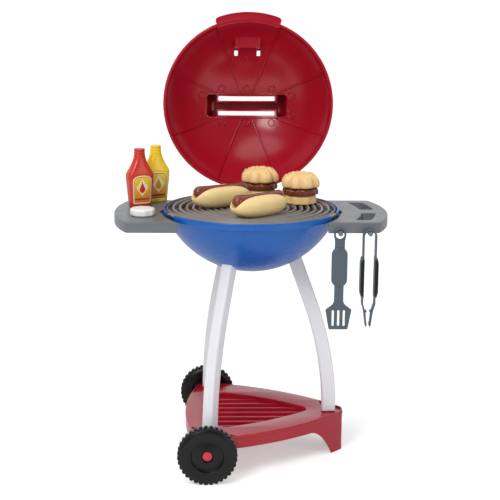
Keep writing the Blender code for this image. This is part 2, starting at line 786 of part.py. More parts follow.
def add_hand_holes(shelf, paint):
    width = OUTER_ARC_CENTRE[0] + OUTER_ARC_RADIUS - INNER_ARC_CENTRE - INNER_ARC_RADIUS
    outer = OUTER_ARC_RADIUS - width * HOLE_INSET_SHARE
    inner = outer - width * HOLE_WIDTH_SHARE
    for low, high in HOLE_SPANS:
        outline = []
        for radius, ends in ((outer, (low, high)), (inner, (high, low))):
            angles = [math.degrees(math.asin((y - OUTER_ARC_CENTRE[1]) / radius)) for y in ends]
            outline += arc(OUTER_ARC_CENTRE, radius, *angles, 5)
        corners = [(*point, 0) for point in outline]
        for index in (0, 5, 6, 11):
            corners[index] = (*outline[index], HOLE_CORNER)
        hole = slab("hole", [rounded(corners)], SHELF_TOP - SHELF_HEIGHT, BAND_TOP, paint)
        combine(shelf, hole, "DIFFERENCE")


def add_peg(shelf, x, paint):
    peg = rod("peg", PEG_RADIUS, PEG_END, SHELF_WALL / 2 - SHELF_HALF, paint, 16)
    peg.rotation_euler.x = math.radians(-90)
    peg.location = (x, peg.location.z, PEG_HEIGHT)
    combine(shelf, peg, "UNION")


# Legs

def make_leg(name, angle, paint):
    foot = TRAY_TOP - TIP_DROP + CLEARANCE
    leg = upright(name, [leg_outline(foot, LEG_TOP, LEG_DEPTH)], 0, LEG_WIDTH, paint)
    soften(leg, LEG_ROUND)
    stub = box(
        "stub", (LEG_FOOT_RADIUS - STUB_DEPTH / 2, -STUB_WIDTH / 2, foot - STUB_LENGTH),
        (LEG_FOOT_RADIUS + STUB_DEPTH / 2, STUB_WIDTH / 2, foot + LEG_ROUND * 2), paint)
    combine(leg, stub, "UNION")
    turn_about_z(leg, angle)
    return leg


# Base tray

def triangle_outline(apothem, tip, tip_half, tip_round, inset=0):
    """A triangle with bowed sides and blunt tips, one of them toward +X."""
    turn = math.radians(60)
    half_chord = tip * math.sin(turn) - tip_half * math.cos(turn)
    bow = apothem - tip * math.cos(turn) - tip_half * math.sin(turn)
    side_radius = cap_radius(half_chord, bow)
    half = math.degrees(math.asin(half_chord / side_radius))
    corners = []
    for third in LEG_ANGLES:
        placed = Matrix.Rotation(math.radians(third), 2)
        for side in (-1, 1):
            point = placed @ Vector((tip - inset, side * (tip_half - inset / 2)))
            corners.append((*point, tip_round))
        normal = math.radians(third) + turn
        offset = apothem - side_radius
        centre = (offset * math.cos(normal), offset * math.sin(normal))
        middle = math.degrees(normal)
        side_points = arc(centre, side_radius - inset, middle - half, middle + half, TRAY_STEPS)
        corners += [(*point, 0) for point in side_points[1:-1]]
    return rounded(corners)


def tray_outline(inset=0):
    return triangle_outline(TRAY_APOTHEM, TRAY_TIP, TRAY_TIP_HALF, TRAY_TIP_ROUND, inset)


def recess_outline(inset=0):
    return triangle_outline(RECESS_APOTHEM, RECESS_TIP, RECESS_TIP_HALF, RECESS_TIP_ROUND, inset)


def side_profile():
    """The tray from the front: a level skirt that sweeps down to the foot."""
    skirt = TRAY_TOP - TRAY_HEIGHT
    profile = [(-TRAY_TIP, TRAY_TOP + TRAY_WALL), (-TRAY_TIP, skirt)]
    for step in range(ARCH_STEPS + 1):
        share = step / ARCH_STEPS
        x = ARCH_START + (ARCH_END - ARCH_START) * share
        profile.append((x, skirt * (1 - share ** 2)))
    end = TRAY_TIP + TRAY_WALL
    return profile + [(ARCH_END, -TRAY_WALL), (end, -TRAY_WALL), (end, TRAY_TOP + TRAY_WALL)]


def tip_block(start, low, angle, outline, paint):
    """The part of an outline beyond a straight step across one tip."""
    block = slab("tip", [outline], low, TRAY_TOP + TRAY_HEIGHT, paint)
    beyond = box(
        "beyond", (start, -TRAY_TIP, 0), (TRAY_TIP + TRAY_HEIGHT, TRAY_TIP, TRAY_TOP * 2), paint)
    turn_about_z(beyond, angle)
    combine(block, beyond, "INTERSECT")
    return block


def make_tray(paint):
    tray = slab("base_tray", [tray_outline()], 0, TRAY_TOP, paint)
    profile = upright("profile", [side_profile()], 0, 2 * TRAY_TIP, paint)
    combine(tray, profile, "INTERSECT")
    floor = TRAY_TOP - RECESS_DEPTH
    hollow = slab("hollow", [tray_outline(TRAY_WALL)], -TRAY_WALL, TRAY_TOP - TRAY_WALL, paint)
    well = slab("well", [recess_outline(-TRAY_WALL)], floor - TRAY_WALL, TRAY_TOP * 2, paint)
    combine(hollow, well, "DIFFERENCE")
    for angle in LEG_ANGLES:
        block = tip_block(
            TIP_STEP - TRAY_WALL, TRAY_TOP - TIP_DROP - TRAY_WALL, angle,
            tray_outline(-TRAY_WALL), paint)
        combine(hollow, block, "DIFFERENCE")
    combine(tray, hollow, "DIFFERENCE")
    recess = slab("recess", [recess_outline()], floor, TRAY_TOP + TRAY_WALL, paint)
    for index in range(TRAY_RIB_COUNT):
        y = (index - (TRAY_RIB_COUNT - 1) / 2) * TRAY_RIB_PITCH
        rib = box(
            "rib", (-TRAY_TIP, y - TRAY_RIB_WIDTH / 2, floor - TRAY_WALL),
            (TRAY_TIP, y + TRAY_RIB_WIDTH / 2, floor + TRAY_RIB_HEIGHT), paint)
        combine(recess, rib, "DIFFERENCE")
    combine(tray, recess, "DIFFERENCE")
    for angle in LEG_ANGLES:
        pocket = tip_block(TIP_STEP, TRAY_TOP - TIP_DROP, angle, tray_outline(TRAY_WALL), paint)
        combine(tray, pocket, "DIFFERENCE")
        half_depth = STUB_DEPTH / 2 + CLEARANCE
        half_width = STUB_WIDTH / 2 + CLEARANCE
        mortise = box(
            "mortise", (LEG_FOOT_RADIUS - half_depth, -half_width, TRAY_TOP - TRAY_HEIGHT),
            (LEG_FOOT_RADIUS + half_depth, half_width, TRAY_TOP), paint)
        turn_about_z(mortise, angle)
        combine(tray, mortise, "DIFFERENCE")
    for side in (-1, 1):
        bearing = box(
            "bearing", (WHEEL_X - BEARING_WIDTH / 2, BEARING_IN, WHEEL_RADIUS - BEARING_HEIGHT / 2),
            (WHEEL_X + BEARING_WIDTH / 2, BEARING_OUT, TRAY_TOP - TIP_DROP - STUB_LENGTH), paint)
        bearing.location.y *= side
        combine(tray, bearing, "UNION")
    bore = axle_rod("bore", AXLE_RADIUS + CLEARANCE, TRAY_TIP, paint)
    combine(tray, bore, "DIFFERENCE")
    return tray


def axle_rod(name, radius, half_length, paint):
    piece = rod(name, radius, -half_length, half_length, paint, 16)
    piece.rotation_euler.x = math.radians(90)
    piece.location = (WHEEL_X, 0, WHEEL_RADIUS)
    return piece


# Wheels

def tread(paint):
    """The lobes round the wheel."""
    outline = []
    for step in range(LOBE_COUNT * 2):
        angle = math.pi * (step + 1) / LOBE_COUNT
        radius = WHEEL_RADIUS - LOBE_DEPTH * (step % 2)
        outline.append((radius * math.cos(angle), radius * math.sin(angle)))
    hole = circle((0, 0), TREAD_INNER)
    return slab("tread", [outline, hole], -TREAD_WIDTH / 2, TREAD_WIDTH / 2, paint)


def make_wheel(name, side, paint):
    half = WHEEL_WIDTH / 2
    bore = AXLE_RADIUS + CLEARANCE
    shoulder = half - LOBE_DEPTH
    dish = half - HUB_STEP
    profile = [
        (bore, half - CAP_RECESS),
        (HUB_CENTRE_RADIUS, half - CAP_RECESS),
        (HUB_CENTRE_RADIUS, half - HUB_RISE),
        (HUB_RADIUS, dish),
        (HUB_RADIUS + HUB_RISE, half),
        (TREAD_INNER, half),
        (TREAD_BASE, shoulder),
        (TREAD_BASE, -shoulder),
        (TREAD_INNER, -half),
        (HUB_RADIUS + HUB_RISE, -half),
        (HUB_RADIUS, -dish),
        (HUB_CENTRE_RADIUS, -dish),
        (HUB_CENTRE_RADIUS, -half),
        (bore, -half),
    ]
    wheel = turned(name, profile, paint, 20)
    combine(wheel, tread(paint), "UNION")
    wheel.rotation_euler.x = math.radians(90) * -side
    wheel.location = (WHEEL_X, side * WHEEL_Y, WHEEL_RADIUS)
    return wheel


def make_axle_cap(name, side, paint):
    """A push-on cap over the end of the axle, in the wheel's recess."""
    base = WHEEL_Y + WHEEL_WIDTH / 2 - CAP_RECESS + CAP_BASE_GAP
    cap = rod(name, CAP_RADIUS, base, base + CAP_THICK, paint)
    soften(cap, CAP_BASE_GAP, 1)
    socket = rod("socket", AXLE_RADIUS + CLEARANCE, base - CAP_THICK, base + CAP_THICK / 2, paint)
    combine(cap, socket, "DIFFERENCE")
    height = cap.location.z
    cap.rotation_euler.x = math.radians(90) * -side
    cap.location = (WHEEL_X, side * height, WHEEL_RADIUS)
    return cap


# Spatula and tongs

def make_spatula(paint):
    eye = (SPATULA_X, PEG_HEIGHT + PEG_RADIUS + CLEARANCE - EYE_RADIUS)
    panel_top = eye[1] - PANEL_DROP
    panel_bottom = panel_top - PANEL_LENGTH
    shoulder = panel_bottom - SHANK_LENGTH
    tip = shoulder - BLADE_LENGTH
    outline = arc(eye, EYE_OUTER, -50, 230, 14)
    corners = [(x, z, 0) for x, z in outline]
    half_widths = [
        (NECK_HALF, panel_top + EYE_RADIUS, EYE_RADIUS),
        (NECK_HALF, panel_bottom + PANEL_HALF, 0),
        (SHANK_HALF, panel_bottom + PANEL_HALF, 0),
        (SHANK_HALF, shoulder + EYE_OUTER, EYE_RADIUS),
        (SHOULDER_HALF, shoulder, SPATULA_THICK),
        (TIP_HALF, tip, SPATULA_THICK),
    ]
    corners += [(SPATULA_X - half, z, radius) for half, z, radius in half_widths]
    corners += [(SPATULA_X + half, z, radius) for half, z, radius in half_widths[::-1]]
    holes = [circle(eye, EYE_RADIUS)]
    slot_low, slot_high = (tip + share * BLADE_LENGTH for share in BLADE_SLOT_SHARES)
    for index in range(BLADE_SLOTS):
        middle = SPATULA_X + (index - (BLADE_SLOTS - 1) / 2) * BLADE_SLOT_PITCH
        holes.append(rectangle(
            (middle - BLADE_SLOT_WIDTH / 2, slot_low), (middle + BLADE_SLOT_WIDTH / 2, slot_high),
            BLADE_SLOT_WIDTH * ROUND_END_SHARE))
    spatula = upright("spatula", [rounded(corners)] + holes, TOOL_Y, SPATULA_THICK, paint)
    panel_outline = rectangle(
        (SPATULA_X - PANEL_HALF, panel_bottom), (SPATULA_X + PANEL_HALF, panel_top),
        2 * PANEL_HALF * ROUND_END_SHARE)
    panel = upright("panel", [panel_outline], TOOL_Y, PANEL_THICK, paint)
    soften(panel, PANEL_EDGE, 1)
    combine(spatula, panel, "UNION")
    return spatula


def strip(name, inner, outer, paint):
    """A springy strip between two lines drawn in X and Z."""
    return upright(name, [inner + outer[::-1]], STRIP_Y, STRIP_DEPTH, paint)


def bow_centre():
    """Height of the middle of the tongs' bow, which hangs on the peg."""
    return PEG_HEIGHT + PEG_RADIUS + CLEARANCE - BOW_INNER


def arm_top():
    return bow_centre() - BOW_DROP


def make_bow(paint):
    centre = (TONGS_X, bow_centre())
    lines = []
    for radius in (BOW_INNER, BOW_INNER + STRIP_THICK):
        line = arc(centre, radius, 0, 180, 12)
        low = arm_top() + CLEARANCE
        lines.append([(TONGS_X + radius, low)] + line + [(TONGS_X - radius, low)])
    return strip("tongs_bow", *lines, paint)


def make_arm(name, side, paint):
    """One arm of the tongs, bent in to a nub and a tip."""
    middle = BOW_INNER + STRIP_THICK / 2
    bend = arm_top() - ARM_STRAIGHT
    nub = bend - ARM_BEND_LENGTH
    places = [
        (middle, arm_top()), (middle, bend), (ARM_NUB_HALF, nub),
        (ARM_TIP_HALF, nub - ARM_TIP_LENGTH)]
    inner = [(TONGS_X + side * (half - STRIP_THICK / 2), z) for half, z in places]
    outer = [(TONGS_X + side * (half + STRIP_THICK / 2), z) for half, z in places]
    return strip(name, inner, outer, paint)


def make_tongs_grip(name, side, arm, paint):
    """A grip sleeve round the outside and both edges of an arm."""
    middle = BOW_INNER + STRIP_THICK / 2
    inner = TONGS_X + side * (middle - STRIP_THICK / 2 - CLEARANCE * 2)
    outer = TONGS_X + side * (middle + TONGS_GRIP_OUT)
    low_y = STRIP_Y - TONGS_GRIP_DEPTH / 2
    high_y = STRIP_Y + TONGS_GRIP_DEPTH / 2
    top, bottom = (arm_top() - share * ARM_STRAIGHT for share in TONGS_GRIP_SHARES)
    grip = box(
        name, (min(inner, outer), low_y, bottom), (max(inner, outer), high_y, top), paint)
    soften(grip, TONGS_GRIP_EDGE, 1)
    arm_inner = TONGS_X + side * (middle - STRIP_THICK)
    arm_outer = TONGS_X + side * (middle + STRIP_THICK / 2 + CLEARANCE)
    channel = box(
        "channel",
        (min(arm_inner, arm_outer), STRIP_Y - STRIP_DEPTH / 2 - CLEARANCE, bottom - EYE_RADIUS),
        (max(arm_inner, arm_outer), STRIP_Y + STRIP_DEPTH / 2 + CLEARANCE, top + EYE_RADIUS), paint)
    combine(grip, channel, "DIFFERENCE")
    attach(grip, arm)
    return grip


# Play food

def make_sausage_shape(name, radius, length, paint):
    """A round-ended bar along Z, centred on its own origin."""
    straight = length / 2 - radius
    top = [(x, y + straight) for x, y in arc((0, 0), radius, 90, 0, 4)]
    bottom = [(x, -y - straight) for x, y in arc((0, 0), radius, 0, 90, 4)]
    top[0] = (0, straight + radius)
    bottom[-1] = (0, -straight - radius)
    return turned(name, top + bottom, paint, SMALL_STEPS)


def lay_along(piece, place, direction, height):
    piece.rotation_euler = (0, math.radians(90), math.radians(direction))
    piece.location = (*place, height)


def make_sausage(name, place, direction, paint):
    sausage = make_sausage_shape(name, SAUSAGE_RADIUS, SAUSAGE_LENGTH, paint)
    lay_along(sausage, place, direction, FOOD_BASE + SAUSAGE_LIFT)
    return sausage


def make_bun(name, place, direction, paint):
    """A long bun with a flat base and a groove that the sausage lies in."""
    edit = bmesh.new()
    bmesh.ops.create_uvsphere(edit, u_segments=20, v_segments=10, radius=1)
    for vertex in edit.verts:
        blunt = math.copysign(abs(vertex.co.x) ** BUN_BLUNT_SHARE, vertex.co.x)
        vertex.co = (
            blunt * BUN_LENGTH / 2, vertex.co.y * BUN_WIDTH / 2, vertex.co.z * BUN_HEIGHT / 2)
    mesh = bpy.data.meshes.new(name)
    edit.to_mesh(mesh)
    edit.free()
    bun = add_piece(name, mesh, paint)
    bun.location = (*place, FOOD_BASE + BUN_HEIGHT / 2 - BUN_SINK)
    bun.rotation_euler.z = math.radians(direction)
    x, y = place
    below = box(
        "below", (x - BUN_LENGTH, y - BUN_LENGTH, FOOD_BASE - BUN_HEIGHT),
        (x + BUN_LENGTH, y + BUN_LENGTH, FOOD_BASE), paint)
    combine(bun, below, "DIFFERENCE")
    groove = make_sausage_shape(
        "groove", SAUSAGE_RADIUS + CLEARANCE, BUN_LENGTH + BUN_WIDTH, paint)
    lay_along(groove, place, direction, FOOD_BASE + SAUSAGE_LIFT)
    combine(bun, groove, "DIFFERENCE")
    above = box(
        "above", (-BUN_LENGTH, -SAUSAGE_RADIUS * GROOVE_MOUTH_SHARE, 0),
        (BUN_LENGTH, SAUSAGE_RADIUS * GROOVE_MOUTH_SHARE, BUN_HEIGHT), paint)
    above.location = (x, y, above.location.z + FOOD_BASE + SAUSAGE_LIFT)
    above.rotation_euler.z = math.radians(direction)
    combine(bun, above, "DIFFERENCE")
    return bun


def make_round_food(name, place, radius, base, height, roundness, paint):
    """A soft-edged disc; the roundness is the share of its height that its top edge rounds off."""
    drop = height * roundness
    side = base + height - drop
    edge = radius * EDGE_SHARE
    top = [(x, side + y * drop / edge) for x, y in arc((radius - edge, 0), edge, 90, 0, 3)]
    foot = height * FOOT_SHARE
    profile = [(0, base + height)] + top + [(radius, base + foot), (radius - foot, base), (0, base)]
    piece = turned(name, profile, paint, BURGER_STEPS)
    piece.location = (*place, 0)
    return piece


# Bottles and cheese

def oval(half_width, half_depth, squareness, height):
    """A ring of points between an ellipse and a rectangle."""
    ring = []
    for step in range(BOTTLE_STEPS):
        angle = 2 * math.pi * step / BOTTLE_STEPS
        cosine, sine = math.cos(angle), math.sin(angle)
        power = 2 / squareness
        ring.append((
            half_width * math.copysign(abs(cosine) ** power, cosine),
            half_depth * math.copysign(abs(sine) ** power, sine),
            height,
        ))
    return ring


def make_bottle(name, place, paint):
    """A flat squeeze bottle: widening sides, hollow shoulders and a round neck."""
    edit = bmesh.new()
    rings = [
        [edit.verts.new(point) for point in oval(half_width, half_depth, squareness, height)]
        for (height, half_width, half_depth), squareness in zip(BOTTLE_LEVELS, BOTTLE_SQUARENESS)
    ]
    for lower, upper in zip(rings, rings[1:]):
        for i in range(BOTTLE_STEPS):
            j = (i + 1) % BOTTLE_STEPS
            edit.faces.new((lower[i], lower[j], upper[j], upper[i]))
    edit.faces.new(rings[0])
    edit.faces.new(rings[-1])
    mesh = bpy.data.meshes.new(name)
    edit.to_mesh(mesh)
    edit.free()
    bottle = settle(add_piece(name, mesh, paint))
    bottle.location = (*place, SHELF_TOP + CLEARANCE)
    bottle.rotation_euler.z = BOTTLE_TURN
    return bottle


def make_puck(paint):
    base = SHELF_TOP + CLEARANCE
    inner = PUCK_RADIUS - PUCK_ROUND
    top = arc((inner, base + PUCK_HEIGHT - PUCK_ROUND), PUCK_ROUND, 90, 0, 2)
    bottom = arc((inner, base + PUCK_ROUND), PUCK_ROUND, 0, -90, 2)
    profile = [(0, base + PUCK_HEIGHT)] + top + bottom + [(0, base)]
    puck = turned("butter_pat", profile, paint, 24)
    puck.location = (*PUCK_PLACE, 0)
    return puck


# Assembly

def make_body(root, blue, red, grey, white, steel):
    """The pieces that stay still."""
    right_shelf = make_shelf("right_shelf", False, grey)
    add_hand_holes(right_shelf, grey)
    for x in (SPATULA_X, TONGS_X):
        add_peg(right_shelf, x, grey)
    pieces = [make_bowl(blue), make_shelf("left_shelf", True, grey), right_shelf, make_tray(red)]
    for name, angle in zip(("leg_right", "leg_back_left", "leg_front_left"), LEG_ANGLES):
        pieces.append(make_leg(name, angle, white))
    pieces.append(hinge_rod("hinge_pin", PIN_RADIUS, PIN_LENGTH, steel))
    cap_base = WHEEL_Y + WHEEL_WIDTH / 2 - CAP_RECESS + CAP_BASE_GAP
    pieces.append(axle_rod("axle", AXLE_RADIUS, cap_base + CAP_THICK / 2 - CLEARANCE, steel))
    for piece in pieces:
        attach(piece, root)


def make_moving_metalware(root, red, black, grey, slate):
    """The lid, wheels, grate and hanging tools."""
    hinge = pivot("lid_hinge", (0, HINGE_BACK, HINGE_HEIGHT), root)
    lid = make_lid(red)
    lid.location.z += BAND_TOP + LID_GAP
    attach(lid, hinge)
    hinge.rotation_euler.x = -LID_OPENING
    for name, side in (("front", -1), ("back", 1)):
        attach(make_wheel("wheel_" + name, side, black), root)
        attach(make_axle_cap("axle_cap_" + name, side, red), root)
    spatula_pivot = pivot("spatula_pivot", (SPATULA_X, TOOL_Y, PEG_HEIGHT), root)
    attach(make_spatula(slate), spatula_pivot)
    tongs_pivot = pivot("tongs_pivot", (TONGS_X, STRIP_Y, PEG_HEIGHT), root)
    attach(make_bow(slate), tongs_pivot)
    for name, side in (("left", -1), ("right", 1)):
        place = (TONGS_X + side * (BOW_INNER + STRIP_THICK / 2), STRIP_Y, arm_top())
        arm_pivot = pivot("arm_pivot_" + name, place, tongs_pivot)
        arm = make_arm("tongs_arm_" + name, side, slate)
        make_tongs_grip("tongs_grip_" + name, side, arm, black)
        attach(arm, arm_pivot)


def make_food(root, bread, meat, golden, patty):
    grate_food = []
    for index, (place, direction) in enumerate(zip(HOTDOG_PLACES, HOTDOG_ANGLES), 1):
        grate_food.append(make_bun(f"hotdog_bun_{index}", place, direction, bread))
        grate_food.append(make_sausage(f"sausage_{index}", place, direction, meat))
    for index, place in enumerate(BURGER_PLACES, 1):
        base = FOOD_BASE
        for kind, radius, height, roundness, paint in (
                ("bottom", HEEL_RADIUS, HEEL_HEIGHT, HEEL_ROUND_SHARE, golden),
                ("patty", PATTY_RADIUS, PATTY_HEIGHT, HEEL_ROUND_SHARE, patty),
                ("top", CROWN_RADIUS, CROWN_HEIGHT, CROWN_ROUND_SHARE, golden)):
            grate_food.append(make_round_food(
                f"burger_{index}_{kind}", place, radius, base, height, roundness, paint))
            base += height + CLEARANCE
    for piece in grate_food:
        attach(piece, root)


def stand_on_origin(root):
    """Move the whole grill so that the middle of its base is at the origin."""
    bpy.context.view_layer.update()
    corners = [
        piece.matrix_world @ vertex.co
        for piece in bpy.data.objects if piece.type == "MESH" for vertex in piece.data.vertices]
    low = [min(corner[axis] for corner in corners) for axis in range(3)]
    high = [max(corner[axis] for corner in corners) for axis in range(3)]
    root.location = (-(low[0] + high[0]) / 2, -(low[1] + high[1]) / 2, -low[2])


def main():
    clear_scene()
    bpy.context.scene.collection.children.link(bpy.data.collections.new(GRILL))
    root = pivot("grill", (0, 0, 0))
    red = material("red plastic", "A31C2A", 0.32)
    blue = material("blue plastic", "1C62B0", 0.3)
    grey = material("grey plastic", "8C8F94", 0.5)
    white = material("white plastic", "E6E6EA", 0.38)
    black = material("black plastic", "1E1E20", 0.5)
    slate = material("slate plastic", "56646F", 0.45)
    steel = material("steel", "B8BABD", 0.3, 1.0)
    make_body(root, blue, red, grey, white, steel)
    grate = make_grate(material("grate plastic", "9A9490", 0.55))
    attach(grate, root)
    make_moving_metalware(root, red, black, grey, slate)
    make_food(
        root, material("bread plastic", "EFD28C", 0.5), material("sausage plastic", "7A3A2C", 0.2),
        material("bun plastic", "F0C880", 0.5), material("patty plastic", "7A4030", 0.4))
    ketchup = material("ketchup plastic", "D03828", 0.35)
    mustard = material("mustard plastic", "F2CE20", 0.35)
    for name, place, paint in zip(
            ("ketchup_bottle", "mustard_bottle"), BOTTLE_PLACES, (ketchup, mustard)):
        attach(make_bottle(name, place, paint), root)
    attach(make_puck(material("butter plastic", "F2F2F0", 0.5)), root)
    stand_on_origin(root)


main()
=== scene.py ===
"""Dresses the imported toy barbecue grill: finer meshes, moulded finishes, stage and camera."""
import math

import bmesh
import bpy
from bpy.props import FloatProperty, FloatVectorProperty, IntProperty, PointerProperty
from mathutils import Matrix, Vector, noise


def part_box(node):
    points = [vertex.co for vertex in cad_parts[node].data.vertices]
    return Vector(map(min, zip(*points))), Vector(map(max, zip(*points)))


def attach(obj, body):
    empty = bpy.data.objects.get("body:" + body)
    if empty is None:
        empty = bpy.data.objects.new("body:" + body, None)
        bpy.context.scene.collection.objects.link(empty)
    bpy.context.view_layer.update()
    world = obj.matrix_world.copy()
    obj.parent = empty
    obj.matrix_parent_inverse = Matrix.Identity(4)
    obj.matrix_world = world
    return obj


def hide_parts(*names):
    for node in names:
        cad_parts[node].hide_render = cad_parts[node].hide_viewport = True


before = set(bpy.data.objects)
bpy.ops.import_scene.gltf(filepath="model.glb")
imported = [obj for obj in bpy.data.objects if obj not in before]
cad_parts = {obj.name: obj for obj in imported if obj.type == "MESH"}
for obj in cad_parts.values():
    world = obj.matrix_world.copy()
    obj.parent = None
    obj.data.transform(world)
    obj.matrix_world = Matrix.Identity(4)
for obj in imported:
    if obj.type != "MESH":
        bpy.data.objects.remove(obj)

bl_info = {
    "name": "Toy barbecue grill",
    "version": (1, 0, 0),
    "blender": (4, 5, 0),
    "location": "3D View > Sidebar > Grill",
    "description": "Builds a moulded toy barbecue with its tools and play food",
    "category": "Add Mesh",
}

MM = 0.001
CLEARANCE = 0.3 * MM
WELD = 0.004 * MM
LEG_ANGLES = (0, 120, 240)
NOTCH_ANGLES = (204, 336)
RIB_ANGLES = tuple(22.5 + 45 * step for step in range(8))
HOTDOG_PLACES = ((-59 * MM, 5 * MM, 32), (11 * MM, -87 * MM, 38))
BURGER_PLACES = ((21.6 * MM, 108.4 * MM), (99.2 * MM, 44.6 * MM))
BOTTLE_PLACES = ((-219 * MM, 53 * MM), (-189 * MM, 99 * MM))
PUCK_PLACE = (-209 * MM, -46 * MM)
HAND_HOLES = ((-88 * MM, -20 * MM), (16 * MM, 90 * MM))
COLLAR = 2 * MM

# Hinge, axle with its bearings, and the half sizes of a leg's stub
HINGE_ROUND = 5 * MM
PIN_BORE = 2.3 * MM
EAR_WIDTH = 6 * MM
EAR_REACH = 17.5 * MM
KNUCKLE_WIDTH = 9 * MM
KNUCKLE_PLACE = 32.5 * MM
LID_GAP = 1 * MM
AXLE_BORE = 4.3 * MM
BEARING_HALF = 12 * MM
BEARING_ENDS = (146 * MM, 172 * MM)
STUB = Vector((9, 6, 9)) * MM

# How far the handle's feet reach down under the top of the dome, and the border of the lip
HANDLE_ROOT = 26 * MM
LIP_BORDER_START = 173 * MM
LIP_BORDER = 3.2 * MM
LIP_CORNER = 9 * MM

# Details of the lid, in millimetres: two corners of a block, or places across and along
LATCH_BLOCK = ((-27.5, -150, 57), (27.5, -121, 96))
LATCH_LEDGE = ((-28.7, -124.5, 57), (28.7, -119.8, 98))
LATCH_WINDOWS = (
    ((-27.7, -116, 57), (-20.3, -105.5, 125)), ((20.3, -116, 57), (27.7, -105.5, 125)))
BOSS_PLACES = (
    (0, -36.5), (0, 36.5), (-54, -36.5), (-54, 36.5), (54, -36.5), (54, 36.5),
    (-95.6, -21), (-95.6, 21), (95.6, -21), (95.6, 21))
PAD_PLACES = ((-16, -100), (0, -100), (16, -100))

# Half a wheel from its bore outward: radius, depth under the face and rounding, in millimetres
WHEEL_FRONT = (
    (4.3, 6.5, 0), (11.5, 6.5, 0.5), (11.5, 2.6, 1), (13.5, 2.2, 0.6), (27.5, 5.6, 1.8),
    (30.2, 4.6, 1.4), (31.6, 0, 1.4), (48, 0, 2.5))
WHEEL_BACK = ((4.3, 0, 0), (11.5, 0, 1), (11.5, 4, 1), (31, 4, 1.2), (33, 0, 1.6), (48, 0, 1.5))
WHEEL_SHOULDER = 2.8 * MM

# The raised ring round the spatula's eye
EYE_RIM = 9.9 * MM
EYE_RIM_STEPS = 60

# How far down each nub of a tongs arm starts and how far in it reaches, in millimetres
ARM_NUBS = ((-2.5, 2.6), (4.5, 1.4))
NUB_HALF = 6 * MM
NUB_HEIGHT = 3.4 * MM

# How close the burgers' knobs stand, across, along and up
KNOBS_PER_METRE = Vector((165, 165, 80))

# A label's ground at its head and at its foot, its drop and its band
LABEL_COLOURS = {
    "ketchup": ("F0D238", "DE7A1E", "CB2C18", "B3471E"),
    "mustard": ("F2D648", "D08420", "D9962A", "8E4A22"),
}

# How the tray's recess widens with its height, in millimetres
RECESS_EDGE = ((0, 0), (0, 10.2), (0.3, 11.1), (0.9, 11.8), (1.5, 12), (2, 14))

# The bottle's levels in millimetres: height, half width, half depth and squareness
BOTTLE_LEVELS = (
    (0, 20.5, 11.5, 4), (1.5, 21.5, 12.5, 4), (6, 22, 12.8, 4.4), (30, 24.1, 13.8, 4.5),
    (58, 26.4, 15, 4.5), (62, 26.5, 15, 4.4), (65, 26, 15, 4), (69, 24, 14.6, 3.6),
    (75, 20.7, 13.8, 3.1), (80, 18.2, 13.1, 2.7), (86, 15.5, 12.3, 2.4), (92, 13.2, 11.6, 2.1),
    (97, 11.8, 11.1, 2), (98.4, 11, 10.8, 2), (99.6, 11.4, 11.2, 2), (101, 11.4, 11.2, 2),
    (102.2, 10.5, 10.5, 2), (104, 10.5, 10.5, 2), (105, 11, 11, 2), (106.6, 11, 11, 2),
    (107.6, 10.2, 10.2, 2), (109.4, 10.2, 10.2, 2), (110.3, 10.9, 10.9, 2), (113, 10.9, 10.9, 2),
    (114, 10, 10, 2),
)

# Light: of the world on the toy, of the dim room in its gloss, and of the floor for the camera
SKY_LIGHT = 0.42
ROOM_LIGHT = 0.12
FLOOR_LIFT = 0.4
LIGHT_TARGET = (0, 0, 0.45)


# The grill's upright axis in the frame

grate_low, grate_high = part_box("cooking_grate")
GRILL = Matrix.Translation((
    (grate_low[0] + grate_high[0]) / 2, (grate_low[1] + grate_high[1]) / 2, 0))


# Colours

def linear(colour):
    """An sRGB hex value as linear red, green and blue."""
    channels = [int(colour[i:i + 2], 16) / 255 for i in (0, 2, 4)]
    return tuple(c / 12.92 if c <= 0.04045 else ((c + 0.055) / 1.055) ** 2.4 for c in channels)


def mm(label, value, description):
    return FloatProperty(
        name=label, description=description, default=value * MM, unit="LENGTH", precision=4)


def angle(label, value, description):
    return FloatProperty(
        name=label, description=description, default=math.radians(value), subtype="ANGLE")


def count(label, value, description):
    return IntProperty(name=label, description=description, default=value, min=1)


def colour(label, value, description):
    return FloatVectorProperty(
        name=label, description=description, default=linear(value), subtype="COLOR", size=3,
        min=0, max=1)


# Sizes and colours that a user would change

class GRILL_PG_bowl(bpy.types.PropertyGroup):
    band_radius: mm("Band radius", 171.6, "Outer radius of the band round the rim")
    band_top: mm("Rim height", 497, "Height of the rim over the floor")
    band_height: mm("Band height", 13, "Height of the band")
    band_step: mm("Band step", 4.6, "How far the band stands out over the bowl")
    depth: mm("Bowl depth", 111, "Depth of the round bottom under the band")
    wall: mm("Wall", 3, "Wall thickness")
    lip: mm("Lip", 4, "Thickness of the lip round the grate")
    ledge_drop: mm("Ledge drop", 10, "How far the grate's ledge lies under the rim")
    ledge: mm("Ledge", 6.6, "Width of the ledge that the grate rests on")
    notch: mm("Notch", 36, "Width of the notches for the grate's tabs")
    hinge_back: mm("Hinge distance", 182, "How far behind the axis the lid's hinge lies")
    hinge_height: mm("Hinge height", 496, "Height of the lid's hinge")
    ear_spacing: mm("Ear spacing", 82, "Distance between the two hinge ears")


